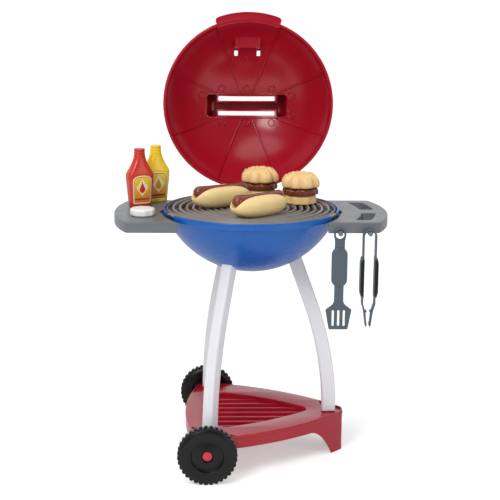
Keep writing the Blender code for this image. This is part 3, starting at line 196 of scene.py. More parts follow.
class GRILL_PG_lid(bpy.types.PropertyGroup):
    rim_radius: mm("Rim radius", 177, "Outer radius of the rim bead")
    rim_height: mm("Rim height", 4, "Height of the rim bead")
    band_radius: mm("Band radius", 174, "Outer radius of the straight band")
    band_height: mm("Band height", 13, "Top of the straight band")
    depth: mm("Depth", 125, "Height of the dome over the rim")
    wall: mm("Wall", 2.5, "Wall thickness")
    opening: angle("Opening", 98.6, "How far the lid stands open")
    rib_width: mm("Rib width", 4.6, "Width of the ribs inside the dome")
    rib_height: mm("Rib height", 2.8, "Height of the ribs inside the dome")
    handle_length: mm("Handle length", 178, "Length of the handle from foot to foot")
    handle_width: mm("Handle width", 52, "Width of the handle's feet")
    handle_rise: mm("Handle rise", 29, "How far the handle stands over the dome")
    slot_length: mm("Slot length", 124, "Length of the finger slots")
    slot_width: mm("Slot width", 9.75, "Width of the finger slots")
    grip: mm("Grip width", 21.5, "Width of the grip between the slots")
    boss_radius: mm("Boss radius", 8.8, "Radius of the round bosses inside")
    lip_inner: mm("Lip inner radius", 167.2, "Where the front lip starts")
    lip_outer: mm("Lip outer radius", 189, "Where the front lip ends")
    lip_angle: angle("Lip half angle", 22, "Half of the front lip's sector")


class GRILL_PG_grate(bpy.types.PropertyGroup):
    radius: mm("Radius", 164.5, "Outer radius of the grate")
    crest: mm("Crest height", 498, "Height of the ridges over the floor")
    groove: mm("Groove depth", 7.2, "Depth of the grooves")
    pitch: mm("Pitch", 13, "Distance between ridges")
    ridges: count("Ridges", 12, "Number of ridges")
    tab_reach: mm("Tab reach", 170.3, "How far the tabs reach from the axis")


class GRILL_PG_shelf(bpy.types.PropertyGroup):
    top: mm("Top", 489.5, "Height of the shelves over the floor")
    height: mm("Height", 20.5, "Height of a shelf's rim")
    half: mm("Half length", 115, "Half of a shelf's length")
    wall: mm("Wall", 2.5, "Wall thickness")
    edge: mm("Edge", 2.2, "Rounding of the edges")
    corner: mm("Corner", 8, "Rounding of the outer corners")
    inner_radius: mm("Inner radius", 214.8, "Radius of the edge along the bowl")
    inner_centre: mm("Inner centre", -41.6, "Centre of the edge along the bowl")
    outer_radius: mm("Outer radius", 271, "Radius of the outer edge")
    outer_x: mm("Outer centre X", -5, "Centre of the outer edge, across")
    outer_y: mm("Outer centre Y", 5, "Centre of the outer edge, along")
    notch_centre: mm("Notch centre", -6, "Place of the notch in the inner edge")
    notch_half: mm("Notch half width", 18, "Half width of the notch")
    notch_depth: mm("Notch depth", 4.5, "Depth of the notch")
    hole_inset: mm("Hole inset", 24.13, "Distance of the hand holes from the outer edge")
    hole_width: mm("Hole width", 26.91, "Width of the hand holes")
    peg_radius: mm("Peg radius", 4.3, "Radius of the pegs")
    peg_height: mm("Peg height", 472.2, "Height of the pegs over the floor")
    peg_end: mm("Peg end", -138, "How far in front of the axis the pegs end")
    spatula_x: mm("Spatula peg", 162.4, "Place of the spatula's peg")
    tongs_x: mm("Tongs peg", 218, "Place of the tongs' peg")


class GRILL_PG_stand(bpy.types.PropertyGroup):
    leg_depth: mm("Leg depth", 27.5, "Depth of a leg, seen from the side")
    leg_width: mm("Leg width", 22, "Width of a leg")
    foot_radius: mm("Foot radius", 159.6, "Distance of a leg's foot from the axis")
    bend_radius: mm("Bend radius", 620, "Radius of the legs' bend")
    straight_from: mm("Straight from", 309, "Height where a leg turns straight")
    leg_top: mm("Leg top", 427, "Height that a leg runs up to before the bowl cuts it")
    leg_edge: mm("Leg edge", 4.5, "Rounding of a leg's edges")
    tray_top: mm("Tray top", 82, "Height of the tray over the floor")
    tray_height: mm("Skirt", 25, "Height of the tray's skirt")
    tray_wall: mm("Tray wall", 3, "Wall thickness of the tray")
    tray_side: mm("Tray side", 129, "Distance of the tray's sides from the axis")
    tray_tip: mm("Tray tip", 188, "Distance of the tray's tips from the axis")
    tray_tip_half: mm("Tray tip half width", 12, "Half width of the tray's tips")
    recess_side: mm("Recess side", 74, "Distance of the recess's sides from the axis")
    recess_tip: mm("Recess tip", 114, "Distance of the recess's tips from the axis")
    recess_tip_half: mm("Recess tip half width", 9, "Half width of the recess's tips")
    tip_round: mm("Tip rounding", 5, "Rounding at the tray's tips")
    recess_round: mm("Recess rounding", 10, "Rounding at the recess's tips")
    recess_depth: mm("Recess depth", 12, "Depth of the recess")
    rib_pitch: mm("Rib pitch", 26, "Distance between the recess's ribs")
    rib_width: mm("Rib width", 7, "Width of the recess's ribs")
    rib_height: mm("Rib height", 5, "Height of the recess's ribs")
    ribs: count("Ribs", 7, "Number of ribs in the recess")
    tip_step: mm("Tip step", 145, "Where the sunken leg seats start")
    tip_drop: mm("Tip drop", 3.5, "Depth of the leg seats")
    arch_start: mm("Arch start", 118, "Where the skirt turns down to the foot")
    arch_end: mm("Arch end", 164, "Where the foot starts")
    wheel_x: mm("Axle place", -85, "Place of the axle, across")
    wheel_y: mm("Wheel place", 187, "Distance of the wheels from the axis")
    wheel_radius: mm("Wheel radius", 57, "Outer radius of the tread")
    wheel_width: mm("Wheel width", 21, "Width of a wheel")
    lobes: count("Lobes", 34, "Tread lobes in each row")
    lobe_depth: mm("Lobe depth", 2.8, "Depth of the tread lobes")
    cap_radius: mm("Cap radius", 9.4, "Radius of the axle caps")


class GRILL_PG_tools(bpy.types.PropertyGroup):
    spatula_y: mm("Spatula place", -125, "Distance of the spatula in front of the axis")
    thickness: mm("Thickness", 3, "Thickness of the spatula and the tongs' strip")
    eye: mm("Eye radius", 8, "Radius of the spatula's eye")
    eye_outer: mm("Eye outside", 11.7, "Outer radius round the eye")
    neck: mm("Neck half width", 9.5, "Half width of the neck")
    shank: mm("Shank half width", 8.8, "Half width of the shank")
    panel_drop: mm("Grip drop", 23.8, "From the eye down to the grip")
    panel_length: mm("Grip length", 77, "Length of the grip")
    panel_half: mm("Grip half width", 15, "Half width of the grip")
    panel_thick: mm("Grip thickness", 7, "Thickness of the grip")
    shank_length: mm("Shank length", 44, "From the grip down to the blade")
    blade: mm("Blade length", 38.7, "Length of the blade")
    shoulder: mm("Blade half width", 24.8, "Half width of the blade at its shoulders")
    tip: mm("Tip half width", 18, "Half width of the blade's tip")
    slot: mm("Slot width", 4.1, "Width of the blade's slots")
    slot_pitch: mm("Slot pitch", 10.4, "Distance between the blade's slots")
    strip_y: mm("Tongs place", -127, "Distance of the tongs in front of the axis")
    strip_depth: mm("Strip depth", 16, "Depth of the tongs' strip")
    bow: mm("Bow radius", 10.1, "Inner radius of the tongs' bow")
    bow_drop: mm("Bow drop", 14.7, "From the bow's centre down to the arms")
    straight: mm("Straight", 115, "Length of the straight run of an arm")
    bend: mm("Bend", 16, "Length of the bend of an arm")
    tip_run: mm("Tip run", 27.3, "Length of the tip of an arm")
    nub_half: mm("Nub half distance", 7, "Half distance between the arms at the nubs")
    tip_half: mm("Tip half distance", 3.6, "Half distance between the arms' tips")
    sleeve_out: mm("Sleeve", 5.5, "How far a grip stands out from the strip's middle")
    sleeve_depth: mm("Sleeve depth", 20, "Depth of a grip")


class GRILL_PG_food(bpy.types.PropertyGroup):
    bun_length: mm("Bun length", 128, "Length of a hot-dog bun")
    bun_width: mm("Bun width", 56, "Width of a hot-dog bun")
    bun_height: mm("Bun height", 44, "Height of a hot-dog bun before its groove")
    sausage_radius: mm("Sausage radius", 12, "Radius of a sausage")
    sausage_length: mm("Sausage length", 122, "Length of a sausage")
    sausage_lift: mm("Sausage lift", 32.3, "Height of a sausage over the grate")
    heel_radius: mm("Bottom radius", 33, "Radius of a burger's bottom half")
    heel_height: mm("Bottom height", 17.7, "Height of a burger's bottom half")
    patty_radius: mm("Patty radius", 36, "Radius of a patty")
    patty_height: mm("Patty height", 14, "Height of a patty")
    crown_radius: mm("Crown radius", 39, "Radius of a burger's top half")
    crown_height: mm("Crown height", 29, "Height of a burger's top half")
    bottle_turn: angle("Bottle turn", 25, "How far the bottles are turned")
    puck_radius: mm("Pat radius", 24.5, "Radius of the butter pat")
    puck_height: mm("Pat height", 14, "Height of the butter pat")


class GRILL_PG_colours(bpy.types.PropertyGroup):
    red: colour("Red", "A81026", "Lid and tray")
    blue: colour("Blue", "0458AC", "Bowl")
    grey: colour("Grey", "696D72", "Shelves")
    grate: colour("Grate", "8A8480", "Cooking grate")
    white: colour("White", "E4E4E8", "Legs")
    black: colour("Black", "0B0B0C", "Wheels and grips")
    slate: colour("Slate", "4C5A65", "Spatula and tongs")
    cap: colour("Cap", "C8323E", "Axle caps")
    bread: colour("Bread", "F2D596", "Hot-dog buns")
    golden: colour("Golden", "F4CC8C", "Burger halves")
    sausage: colour("Sausage", "7F3A2C", "Sausages")
    patty: colour("Patty", "74321F", "Burger patties")
    ketchup: colour("Ketchup", "CB2C18", "Ketchup bottle")
    mustard: colour("Mustard", "F5CF18", "Mustard bottle")
    pat: colour("Butter pat", "F0F0EC", "Butter pat")


class GRILL_PG_stage(bpy.types.PropertyGroup):
    lens: FloatProperty(
        name="Lens", description="Focal length of the camera in millimetres", default=92.43)
    camera: FloatVectorProperty(
        name="Camera", description="Place of the camera", size=3, subtype="TRANSLATION",
        default=(-0.08641, -2.545085, 0.96631))
    yaw: angle("Yaw", 1.98, "How far the camera looks to the right")
    pitch: angle("Pitch", 12.71, "How far the camera looks down")
    roll: angle("Roll", -0.48, "How far the camera leans")


# Finishes

def add_node(tree, kind, inputs=None, **settings):
    """Add a node with its settings; an input is a value or the socket that feeds it."""
    made = tree.nodes.new(kind)
    for name, value in settings.items():
        setattr(made, name, value)
    for socket, value in (inputs or {}).items():
        if isinstance(value, bpy.types.NodeSocket):
            tree.links.new(value, made.inputs[socket])
        else:
            made.inputs[socket].default_value = value
    return made


def shader_of(paint):
    return paint.node_tree.nodes["Principled BSDF"]


def new_paint(name):
    """A new material, with its node tree, its shader and its object coordinates."""
    paint = bpy.data.materials.new(name)
    paint.use_nodes = True
    tree = paint.node_tree
    return paint, tree, shader_of(paint), add_node(tree, "ShaderNodeTexCoord").outputs["Object"]


def plastic(name, tint, roughness, ior=1.5, grain_mm=0.9, grain=0.12, sheen_mm=22, mottle=0.05,
            waviness=0.0, wave_mm=18):
    """Moulded plastic: even colour with faint flow marks, a fine mould grain and uneven gloss."""
    paint, tree, shader, place = new_paint(name)
    dark = tuple(c * (1 - mottle) for c in tint)
    light = tuple(min(1.0, c * (1 + mottle)) for c in tint)
    # Noise as wide as the flow marks, the patches of gloss and the mould's grain
    flow, sheen, grit = [
        add_node(tree, "ShaderNodeTexNoise", {
            "Vector": place, "Scale": 1 / (width * MM), "Detail": detail,
            "Roughness": 0.55}).outputs["Fac"]
        for width, detail in ((sheen_mm * 2.5, 2.0), (sheen_mm, 3.0), (grain_mm, 2.0))]
    colours = add_node(tree, "ShaderNodeMix", {
        "Factor": flow, "A": (*dark, 1), "B": (*light, 1)}, data_type="RGBA")
    tree.links.new(colours.outputs[2], shader.inputs["Base Color"])
    gloss = add_node(tree, "ShaderNodeMapRange", {
        "Value": sheen, "From Min": 0.3, "From Max": 0.7, "To Min": max(0.05, roughness - 0.05),
        "To Max": roughness + 0.05})
    tree.links.new(gloss.outputs["Result"], shader.inputs["Roughness"])
    shader.inputs["IOR"].default_value = ior
    bump = add_node(tree, "ShaderNodeBump", {
        "Height": grit, "Strength": grain, "Distance": 0.12 * MM})
    if waviness:
        waves = add_node(tree, "ShaderNodeTexNoise", {
            "Vector": place, "Scale": 1 / (wave_mm * MM), "Detail": 1.0, "Roughness": 0.55})
        bump = add_node(tree, "ShaderNodeBump", {
            "Height": waves.outputs["Fac"], "Strength": waviness, "Distance": 0.6 * MM,
            "Normal": bump.outputs["Normal"]})
    tree.links.new(bump.outputs["Normal"], shader.inputs["Normal"])
    return paint


def drawn_steel(name):
    """Bright drawn steel rod: fine lines along the draw and a soft metal gloss."""
    paint, tree, shader, place = new_paint(name)
    shader.inputs["Base Color"].default_value = (*linear("C4C6C8"), 1)
    shader.inputs["Metallic"].default_value = 1.0
    # The lines are 0.25 mm wide and 50 mm long
    lines = add_node(tree, "ShaderNodeMapping", {
        "Vector": place, "Scale": (1 / (0.25 * MM), 1 / (50 * MM), 1 / (0.25 * MM))})
    drawn = add_node(tree, "ShaderNodeTexNoise", {"Vector": lines.outputs["Vector"], "Scale": 1.0})
    gloss = add_node(tree, "ShaderNodeMapRange", {
        "Value": drawn.outputs["Fac"], "To Min": 0.22, "To Max": 0.42})
    tree.links.new(gloss.outputs["Result"], shader.inputs["Roughness"])
    return paint


def printed_label(name, top, bottom, low, high):
    """Glossy printed film whose ground runs from one colour at its foot to another at its head."""
    paint, tree, shader, place = new_paint(name)
    shader.inputs["IOR"].default_value = 1.49
    parts = add_node(tree, "ShaderNodeSeparateXYZ", {"Vector": place})
    height = add_node(tree, "ShaderNodeMapRange", {
        "Value": parts.outputs["Z"], "From Min": low, "From Max": high})
    ground = add_node(tree, "ShaderNodeMix", {
        "Factor": height.outputs["Result"], "A": (*linear(bottom), 1), "B": (*linear(top), 1)},
        data_type="RGBA")
    tree.links.new(ground.outputs[2], shader.inputs["Base Color"])
    sheen = add_node(tree, "ShaderNodeTexNoise", {
        "Vector": place, "Scale": 1 / (9 * MM), "Detail": 3.0, "Roughness": 0.55})
    gloss = add_node(tree, "ShaderNodeMapRange", {
        "Value": sheen.outputs["Fac"], "To Min": 0.25, "To Max": 0.38})
    tree.links.new(gloss.outputs["Result"], shader.inputs["Roughness"])
    return paint


def finish_for(name, make):
    """A finish is made once and then shared."""
    return bpy.data.materials.get(name) or make(name)


# For each colour its slot, its name and the settings of plastic() from the roughness on
FINISHES = {
    # From a polished mould: a soft gloss with broad, blurred highlights
    "red": ("red_plastic", "moulded red polypropylene", 0.21, 1.5, 2, 0.02, 60, 0.03),
    "blue": ("blue_plastic", "moulded blue polypropylene", 0.29, 1.49, 2, 0.02, 60, 0.03),
    "cap": ("red_plastic", "glossy red cap plastic", 0.3, 1.49, 1, 0.1, 22, 0.05),
    # From a lightly textured mould: a fine grain that scatters the light
    "grey": ("grey_plastic", "textured grey polypropylene", 0.35, 1.49, 1.1, 0.3, 22, 0.04),
    "grate": ("grate_plastic", "textured warm grey polypropylene", 0.4, 1.49, 1.2, 0.15, 22, 0.05),
    "black": ("black_plastic", "textured black polypropylene", 0.33, 1.4, 1.1, 0.2, 22, 0.1),
    "slate": ("slate_plastic", "textured slate polypropylene", 0.42, 1.49, 1, 0.28, 22, 0.04),
    # Blow-moulded: slightly wavy walls under a soft gloss
    "white": (
        "white_plastic", "blow-moulded white polyethylene", 0.36, 1.52, 1.4, 0.1, 22, 0.02, 0.15,
        30),
    "ketchup": (
        "ketchup_plastic", "soft ketchup polyethylene", 0.3, 1.51, 1.5, 0.1, 20, 0.05, 0.2, 22),
    "mustard": (
        "mustard_plastic", "soft mustard polyethylene", 0.3, 1.51, 1.5, 0.1, 20, 0.05, 0.2, 22),
    # Soft vinyl: a satin skin with shallow waves and faint colour drift
    "bread": ("bread_plastic", "soft bread vinyl", 0.48, 1.52, 1.3, 0.2, 14, 0.07, 0.2, 12),
    "golden": ("bun_plastic", "golden bun vinyl", 0.46, 1.52, 1.3, 0.2, 14, 0.07, 0.3, 12),
    "patty": ("patty_plastic", "patty vinyl", 0.28, 1.52, 1.3, 0.2, 14, 0.07, 0.5, 12),
    "sausage": (
        "sausage_plastic", "glossy sausage vinyl", 0.2, 1.53, 2.5, 0.05, 18, 0.12, 0.25, 16),
    "pat": ("butter_plastic", "matt white vinyl", 0.5, 1.5, 1.2, 0.25, 22, 0.02, 0.2, 18),
}


def finish(kind):
    """The finish of one kind of plastic in its colour."""
    _, name, *settings = FINISHES[kind]
    tint = getattr(bpy.context.scene.grill_colours, kind)
    return finish_for(name, lambda made: plastic(made, tint, *settings))


def grate_finish_with_painted_groove_shade():
    """The grate's finish with painted shade: its narrow grooves are painted darker toward their
    floors, where shade falls.
    """
    paint = finish("grate")
    tree = paint.node_tree
    place = add_node(tree, "ShaderNodeTexCoord").outputs["Object"]
    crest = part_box("cooking_grate")[1][2]
    parts = add_node(tree, "ShaderNodeSeparateXYZ", {"Vector": place})
    depth = add_node(tree, "ShaderNodeMapRange", {
        "Value": parts.outputs["Z"], "From Min": crest - 6.8 * MM, "From Max": crest - 2.8 * MM,
        "To Min": 0.08})
    # Painted shade: near black at the grooves' floors, blending to the grate's own colour 2.8 mm
    # under the crest
    tint = shader_of(paint).inputs["Base Color"]
    shade = add_node(tree, "ShaderNodeMix", {
        "Factor": depth.outputs["Result"], "A": (*linear("121212"), 1),
        "B": tint.links[0].from_socket}, data_type="RGBA")
    tree.links.new(shade.outputs[2], tint)
    return paint


# Meshes

def link(name, data):
    piece = bpy.data.objects.new(name, data)
    bpy.context.scene.collection.objects.link(piece)
    return piece


def remove(piece):
    bpy.data.objects.remove(piece, do_unlink=True)


def mesh_of(name, edit):
    """The finished edit as a mesh."""
    mesh = bpy.data.meshes.new(name)
    edit.to_mesh(mesh)
    edit.free()
    return mesh


def put(piece, place, degrees=0.0, axis="Z"):
    """Set a piece at a place, turned about one axis."""
    piece.matrix_world = Matrix.Translation(place) @ Matrix.Rotation(
        math.radians(degrees), 4, axis)
    return piece


def settle(piece, sharp=32):
    """Make a curve or modifiers one welded mesh, smooth but for its sharp edges."""
    bpy.context.view_layer.update()
    graph = bpy.context.evaluated_depsgraph_get()
    mesh = bpy.data.meshes.new_from_object(piece.evaluated_get(graph))
    edit = bmesh.new()
    edit.from_mesh(mesh)
    bmesh.ops.remove_doubles(edit, verts=edit.verts, dist=WELD)
    bmesh.ops.recalc_face_normals(edit, faces=edit.faces)
    edit.to_mesh(mesh)
    edit.free()
    mesh.shade_smooth()
    mesh.set_sharp_from_angle(angle=math.radians(sharp))
    if piece.type == "MESH":
        piece.modifiers.clear()
        piece.data = mesh
        return piece
    name, matrix = piece.name, piece.matrix_world.copy()
    remove(piece)
    solid = link(name, mesh)
    solid.matrix_world = matrix
    return solid


def combine(target, tool, operation):
    """Join, cut or intersect the target with the tool, which is used up."""
    boolean = target.modifiers.new(operation, "BOOLEAN")
    boolean.operation = operation
    boolean.solver = "EXACT"
    boolean.object = tool
    settle(target)
    remove(tool)


def carve(target, *tools):
    for tool in tools:
        combine(target, tool, "DIFFERENCE")


def join(target, *tools):
    for tool in tools:
        combine(target, tool, "UNION")


def merge(target, *others):
    """Put closed meshes that touch or overlap into one object."""
    bpy.context.view_layer.update()
    edit = bmesh.new()
    edit.from_mesh(target.data)
    paints = target.data.materials
    for other in others:
        data = other.data.copy()
        data.transform(target.matrix_world.inverted() @ other.matrix_world)
        slots = []
        for paint in data.materials:
            if paint.name not in [kept.name for kept in paints]:
                paints.append(paint)
            slots.append([kept.name for kept in paints].index(paint.name))
        for face in data.polygons:
            face.material_index = slots[face.material_index] if slots else 0
        edit.from_mesh(data)
        remove(other)
        bpy.data.meshes.remove(data)
    edit.to_mesh(target.data)
    edit.free()
    return target


def rounded(corners, steps=5, closed=True):
    """Points along (x, y, radius) corners; plain points too close to a round corner drop out."""
    round_ones = [corner for corner in corners if corner[2]]
    corners = [
        corner for i, corner in enumerate(corners)
        if corner[2] or (not closed and i in (0, len(corners) - 1)) or not any(
            math.dist(corner[:2], other[:2]) < 1.25 * other[2] for other in round_ones)]
    outline = []
    last = len(corners) - 1
    for i, (x, y, radius) in enumerate(corners):
        if not radius or (not closed and i in (0, last)):
            outline.append((x, y))
            continue
        here = Vector((x, y))
        back = Vector(corners[i - 1][:2]) - here
        ahead = Vector(corners[(i + 1) % len(corners)][:2]) - here
        half = back.angle(ahead) / 2
        reach = min(radius / math.tan(half), back.length * 0.49, ahead.length * 0.49)
        radius = reach * math.tan(half)
        back.normalize()
        ahead.normalize()
        centre = here + (back + ahead).normalized() * radius / math.sin(half)
        start = here + back * reach - centre
        end = here + ahead * reach - centre
        for step in range(steps + 1):
            spoke = start.lerp(end, step / steps).normalized() * radius
            outline.append(tuple(centre + spoke))
    return outline


def plain(points):
    """Corners without rounding."""
    return [(*point, 0) for point in points]


def arc(centre, radius, start, end, steps):
    """Points on an arc, angles in degrees."""
    angles = [math.radians(start + (end - start) * step / steps) for step in range(steps + 1)]
    return [(centre[0] + radius * math.cos(a), centre[1] + radius * math.sin(a)) for a in angles]


def circle(centre, radius, steps=48):
    return arc(centre, radius, 0, 360, steps)[:-1]


def rectangle(low, high, radius=0.0):
    return rounded([
        (low[0], low[1], radius), (high[0], low[1], radius),
        (high[0], high[1], radius), (low[0], high[1], radius)])


def revolve(name, profile, steps, sharp=32):
    """Turn (radius, height) points about Z; off the axis the profile closes on itself."""
    points, rings = [], []
    for radius, height in profile:
        first = len(points)
        if radius < WELD:
            points.append((0, 0, height))
            rings.append([first] * steps)
            continue
        for step in range(steps):
            turn = 2 * math.pi * step / steps
            points.append((radius * math.cos(turn), radius * math.sin(turn), height))
        rings.append(list(range(first, first + steps)))
    pairs = list(zip(rings, rings[1:]))
    if profile[0][0] > WELD:
        pairs.append((rings[-1], rings[0]))
    faces = []
    for lower, upper in pairs:
        for i in range(steps):
            j = (i + 1) % steps
            face = [lower[i], lower[j], upper[j], upper[i]]
            faces.append(tuple(dict.fromkeys(face)))
    mesh = bpy.data.meshes.new(name)
    mesh.from_pydata(points, [], [face for face in faces if len(face) > 2])
    return settle(link(name, mesh), sharp)


def plate(name, outlines, low, high, edge=0.0, steps=3):
    """A plate with rounded edges between two heights; outlines after the first are holes."""
    curve = bpy.data.curves.new(name, "CURVE")
    curve.dimensions = "2D"
    curve.fill_mode = "BOTH"
    curve.extrude = (high - low) / 2 - edge
    curve.bevel_depth = edge
    curve.bevel_resolution = steps
    curve.offset = -edge
    for outline in outlines:
        spline = curve.splines.new("POLY")
        spline.points.add(len(outline) - 1)
        for point, (x, y) in zip(spline.points, outline):
            point.co = (x, y, 0, 1)
        spline.use_cyclic_u = True
    piece = link(name, curve)
    piece.location.z = (low + high) / 2
    return settle(piece)


def stand_up(piece, y):
    """Turn a plate drawn in X and Y so that its outline lies in X and Z, centred on y."""
    piece.data.transform(piece.matrix_basis)
    piece.matrix_basis = Matrix.Translation((0, y, 0)) @ Matrix.Rotation(math.pi / 2, 4, "X")
    return piece


def stand_across(piece, x):
    """Turn a plate drawn in X and Y so that its outline lies in Y and Z, centred on x."""
    piece.matrix_basis = Matrix.Translation((x, 0, 0)) @ Matrix(
        ((0, 0, 1, 0), (1, 0, 0, 0), (0, 1, 0, 0), (0, 0, 0, 1)))
    return piece


def turn_about_z(piece, degrees):
    bpy.context.view_layer.update()
    piece.matrix_world = Matrix.Rotation(math.radians(degrees), 4, "Z") @ piece.matrix_world
    return piece


def block(name, low, high, edge=0.0):
    """A box between two corners, with rounded edges if asked."""
    low, high = Vector(low), Vector(high)
    edit = bmesh.new()
    bmesh.ops.create_cube(edit, size=1, matrix=Matrix.Diagonal((*(high - low), 1)))
    piece = link(name, mesh_of(name, edit))
    piece.location = (low + high) / 2
    if edge:
        soften = piece.modifiers.new("soften", "BEVEL")
        soften.width = edge
        soften.segments = 4
        settle(piece)
    return piece


def rod(name, radius, low, high, edge=0.0):
    """A round bar on the Z axis."""
    profile = [(0, high, 0), (radius, high, edge), (radius, low, edge), (0, low, 0)]
    return revolve(name, rounded(profile, 3, closed=False), 32)


def block_mm(name, corners, edge):
    """A soft-edged box from its two corners in millimetres."""
    return block(name, *(Vector(corner) * MM for corner in corners), edge)


def cap_radius(rim, depth):
    """Radius of the sphere whose cap has this rim radius and depth."""
    return (rim ** 2 + depth ** 2) / (2 * depth)


def cap_points(radius, centre, rim, steps, side):
    """Sphere profile from the rim to the axis; side is 1 above the centre and -1 below."""
    rim_angle = math.asin(rim / radius)
    angles = [rim_angle * (1 - step / steps) for step in range(steps + 1)]
    return [(radius * math.sin(a), centre + side * radius * math.cos(a)) for a in angles]


def loft(name, rings, sharp=32, closed=False):
    """A skin over rings of equally many points, with flat ends unless the rings close."""
    edit = bmesh.new()
    made = [[edit.verts.new(point) for point in ring] for ring in rings]
    pairs = list(zip(made, made[1:]))
    if closed:
        pairs.append((made[-1], made[0]))
    for lower, upper in pairs:
        for i in range(len(lower)):
            j = (i + 1) % len(lower)
            edit.faces.new((lower[i], lower[j], upper[j], upper[i]))
    if not closed:
        edit.faces.new(made[0])
        edit.faces.new(made[-1])
    return settle(link(name, mesh_of(name, edit)), sharp)


def facing(place, direction, axis):
    """A matrix at a place, with one axis in a direction."""
    return Matrix.Translation(place) @ direction.to_track_quat(axis, "Y").to_matrix().to_4x4()


def seat(piece, body, kind, *nodes):
    """Set a piece into the frame in its finish, on its body and for the nodes it replaces."""
    bpy.context.view_layer.update()
    piece.data.transform(GRILL @ piece.matrix_world)
    piece.matrix_world = Matrix()
    if not piece.data.materials:
        piece.data.materials.append(finish(kind))
    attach(piece, body)
    if nodes:
        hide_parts(*nodes)
    return piece


def repaint(node, paint):
    """Give a kept CAD node its finish."""
    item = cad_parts[node]
    item.data.materials.clear()
    item.data.materials.append(paint)


# Bowl

def leg_radius(size, height):
    """Distance of a leg's centre line from the axis: a bend, then a straight run."""
    bend = min(height, size.straight_from) - size.tray_top
    straight = height - min(height, size.straight_from)
    slope = (size.straight_from - size.tray_top) / size.bend_radius
    return size.foot_radius - bend ** 2 / (2 * size.bend_radius) - straight * slope


def leg_outline(size, low, high, width, steps):
    """Side view of a bar along a leg's centre line, in radius and height."""
    outer, inner = [], []
    for step in range(steps + 1):
        height = low + (high - low) * step / steps
        level = min(max(height, size.tray_top), size.straight_from)
        across = Vector((1, (level - size.tray_top) / size.bend_radius)).normalized() * width / 2
        centre = Vector((leg_radius(size, height), height))
        outer.append(tuple(centre + across))
        inner.append(tuple(centre - across))
    return outer + inner[::-1]


def hinge_part(name, outline, x, width):
    return stand_across(plate(name, [outline], -width / 2, width / 2, 0.6 * MM), x)


def hinge_bore(size, height):
    bore = rod("bore", PIN_BORE, -size.ear_spacing, size.ear_spacing)
    return put(bore, (0, size.hinge_back, height), 90, "Y")


def build_bowl(size):
    """The blue bowl with its band, ledge, notches and hinge ears."""
    step_radius = size.band_radius - size.band_step
    radius = cap_radius(step_radius, size.depth)
    step_height = size.band_top - size.band_height
    centre = step_height - size.depth + radius
    ledge = size.band_top - size.ledge_drop
    lip_inner = size.band_radius - size.lip
    wall_inner = lip_inner - size.ledge
    inner = cap_points(radius - size.wall, centre, wall_inner, 26, -1)[::-1]
    outer = cap_points(radius, centre, step_radius, 30, -1)
    corners = plain(inner)
    corners += [
        (wall_inner, ledge, 0.8 * MM), (lip_inner, ledge, 0.8 * MM),
        (lip_inner, size.band_top, 1.3 * MM), (size.band_radius, size.band_top, 1.8 * MM),
        (size.band_radius, step_height, 1.8 * MM), (*outer[0], 1.2 * MM)]
    corners += plain(outer[1:])
    bowl = revolve("bowl", rounded(corners, 4, closed=False), 160)
    for turn in NOTCH_ANGLES:
        notch = block(
            "notch", (wall_inner, -size.notch / 2, ledge),
            (size.band_radius + 4 * MM, size.notch / 2, size.band_top + 9 * MM), edge=1.5 * MM)
        carve(bowl, turn_about_z(notch, turn))
    top = size.band_top - 0.6 * MM
    outline = [
        (size.hinge_back - 5.5 * MM, top), (size.hinge_back - EAR_REACH, top),
        (size.hinge_back - EAR_REACH, top - 11.4 * MM)]
    outline += arc((size.hinge_back, size.hinge_height), HINGE_ROUND, -100, 150, 20)
    for side in (-1, 1):
        ear = hinge_part("ear", outline, side * size.ear_spacing / 2, EAR_WIDTH)
        join(bowl, ear)
    carve(bowl, hinge_bore(size, size.hinge_height))
    return seat(bowl, "stand", "blue", "grill_bowl")


# Lid

def sector(inner, outer, half_angle, inset, corner):
    """Part of a ring at the front of the lid, with rounded corners."""
    half = math.degrees(half_angle - inset / outer)
    outline = arc((0, 0), outer, -90 - half, -90 + half, 28)
    outline += arc((0, 0), inner, -90 + half, -90 - half, 28)
    corners = plain(outline)
    for index, blunt in ((0, corner), (28, corner), (29, corner / 5), (57, corner / 5)):
        corners[index] = (*outline[index], blunt)
    return rounded(corners)


def bead(name, path, normals, width, height, closed=False, fade=0):
    """A blunt bead along a path on a surface; it stands up along the normals."""
    rings = []
    last = len(path) - 1
    for i, (point, normal) in enumerate(zip(path, normals)):
        before = path[i - 1] if closed or i else point
        after = path[(i + 1) % len(path)] if closed or i < last else point
        side = (after - before).normalized().cross(normal).normalized() * width / 2
        rise = height
        if fade:
            rise *= math.sqrt(min(1, (min(i, last - i) + 0.15) / fade))
        ring = []
        for step in range(9):
            turn = math.pi * step / 8
            out = math.copysign(abs(math.cos(turn)) ** 0.6, math.cos(turn))
            ring.append(point + side * out + normal * rise * math.sin(turn) ** 0.5)
        ring.append(point - side - normal * 0.5 * MM)
        ring.append(point + side - normal * 0.5 * MM)
        rings.append(ring)
    return loft(name, rings, closed=closed)


def lid_place(radius, centre, x, y):
    """A point on the inside of the dome and the way in from it."""
    point = Vector((x, y, centre + math.sqrt(radius ** 2 - x ** 2 - y ** 2)))
    return point, (Vector((0, 0, centre)) - point).normalized()


def lid_bead(name, radius, centre, plan, width, height, closed=False, fade=0):
    places = [lid_place(radius, centre, x, y) for x, y in plan]
    points, normals = zip(*places)
    return bead(name, points, normals, width, height, closed, fade)


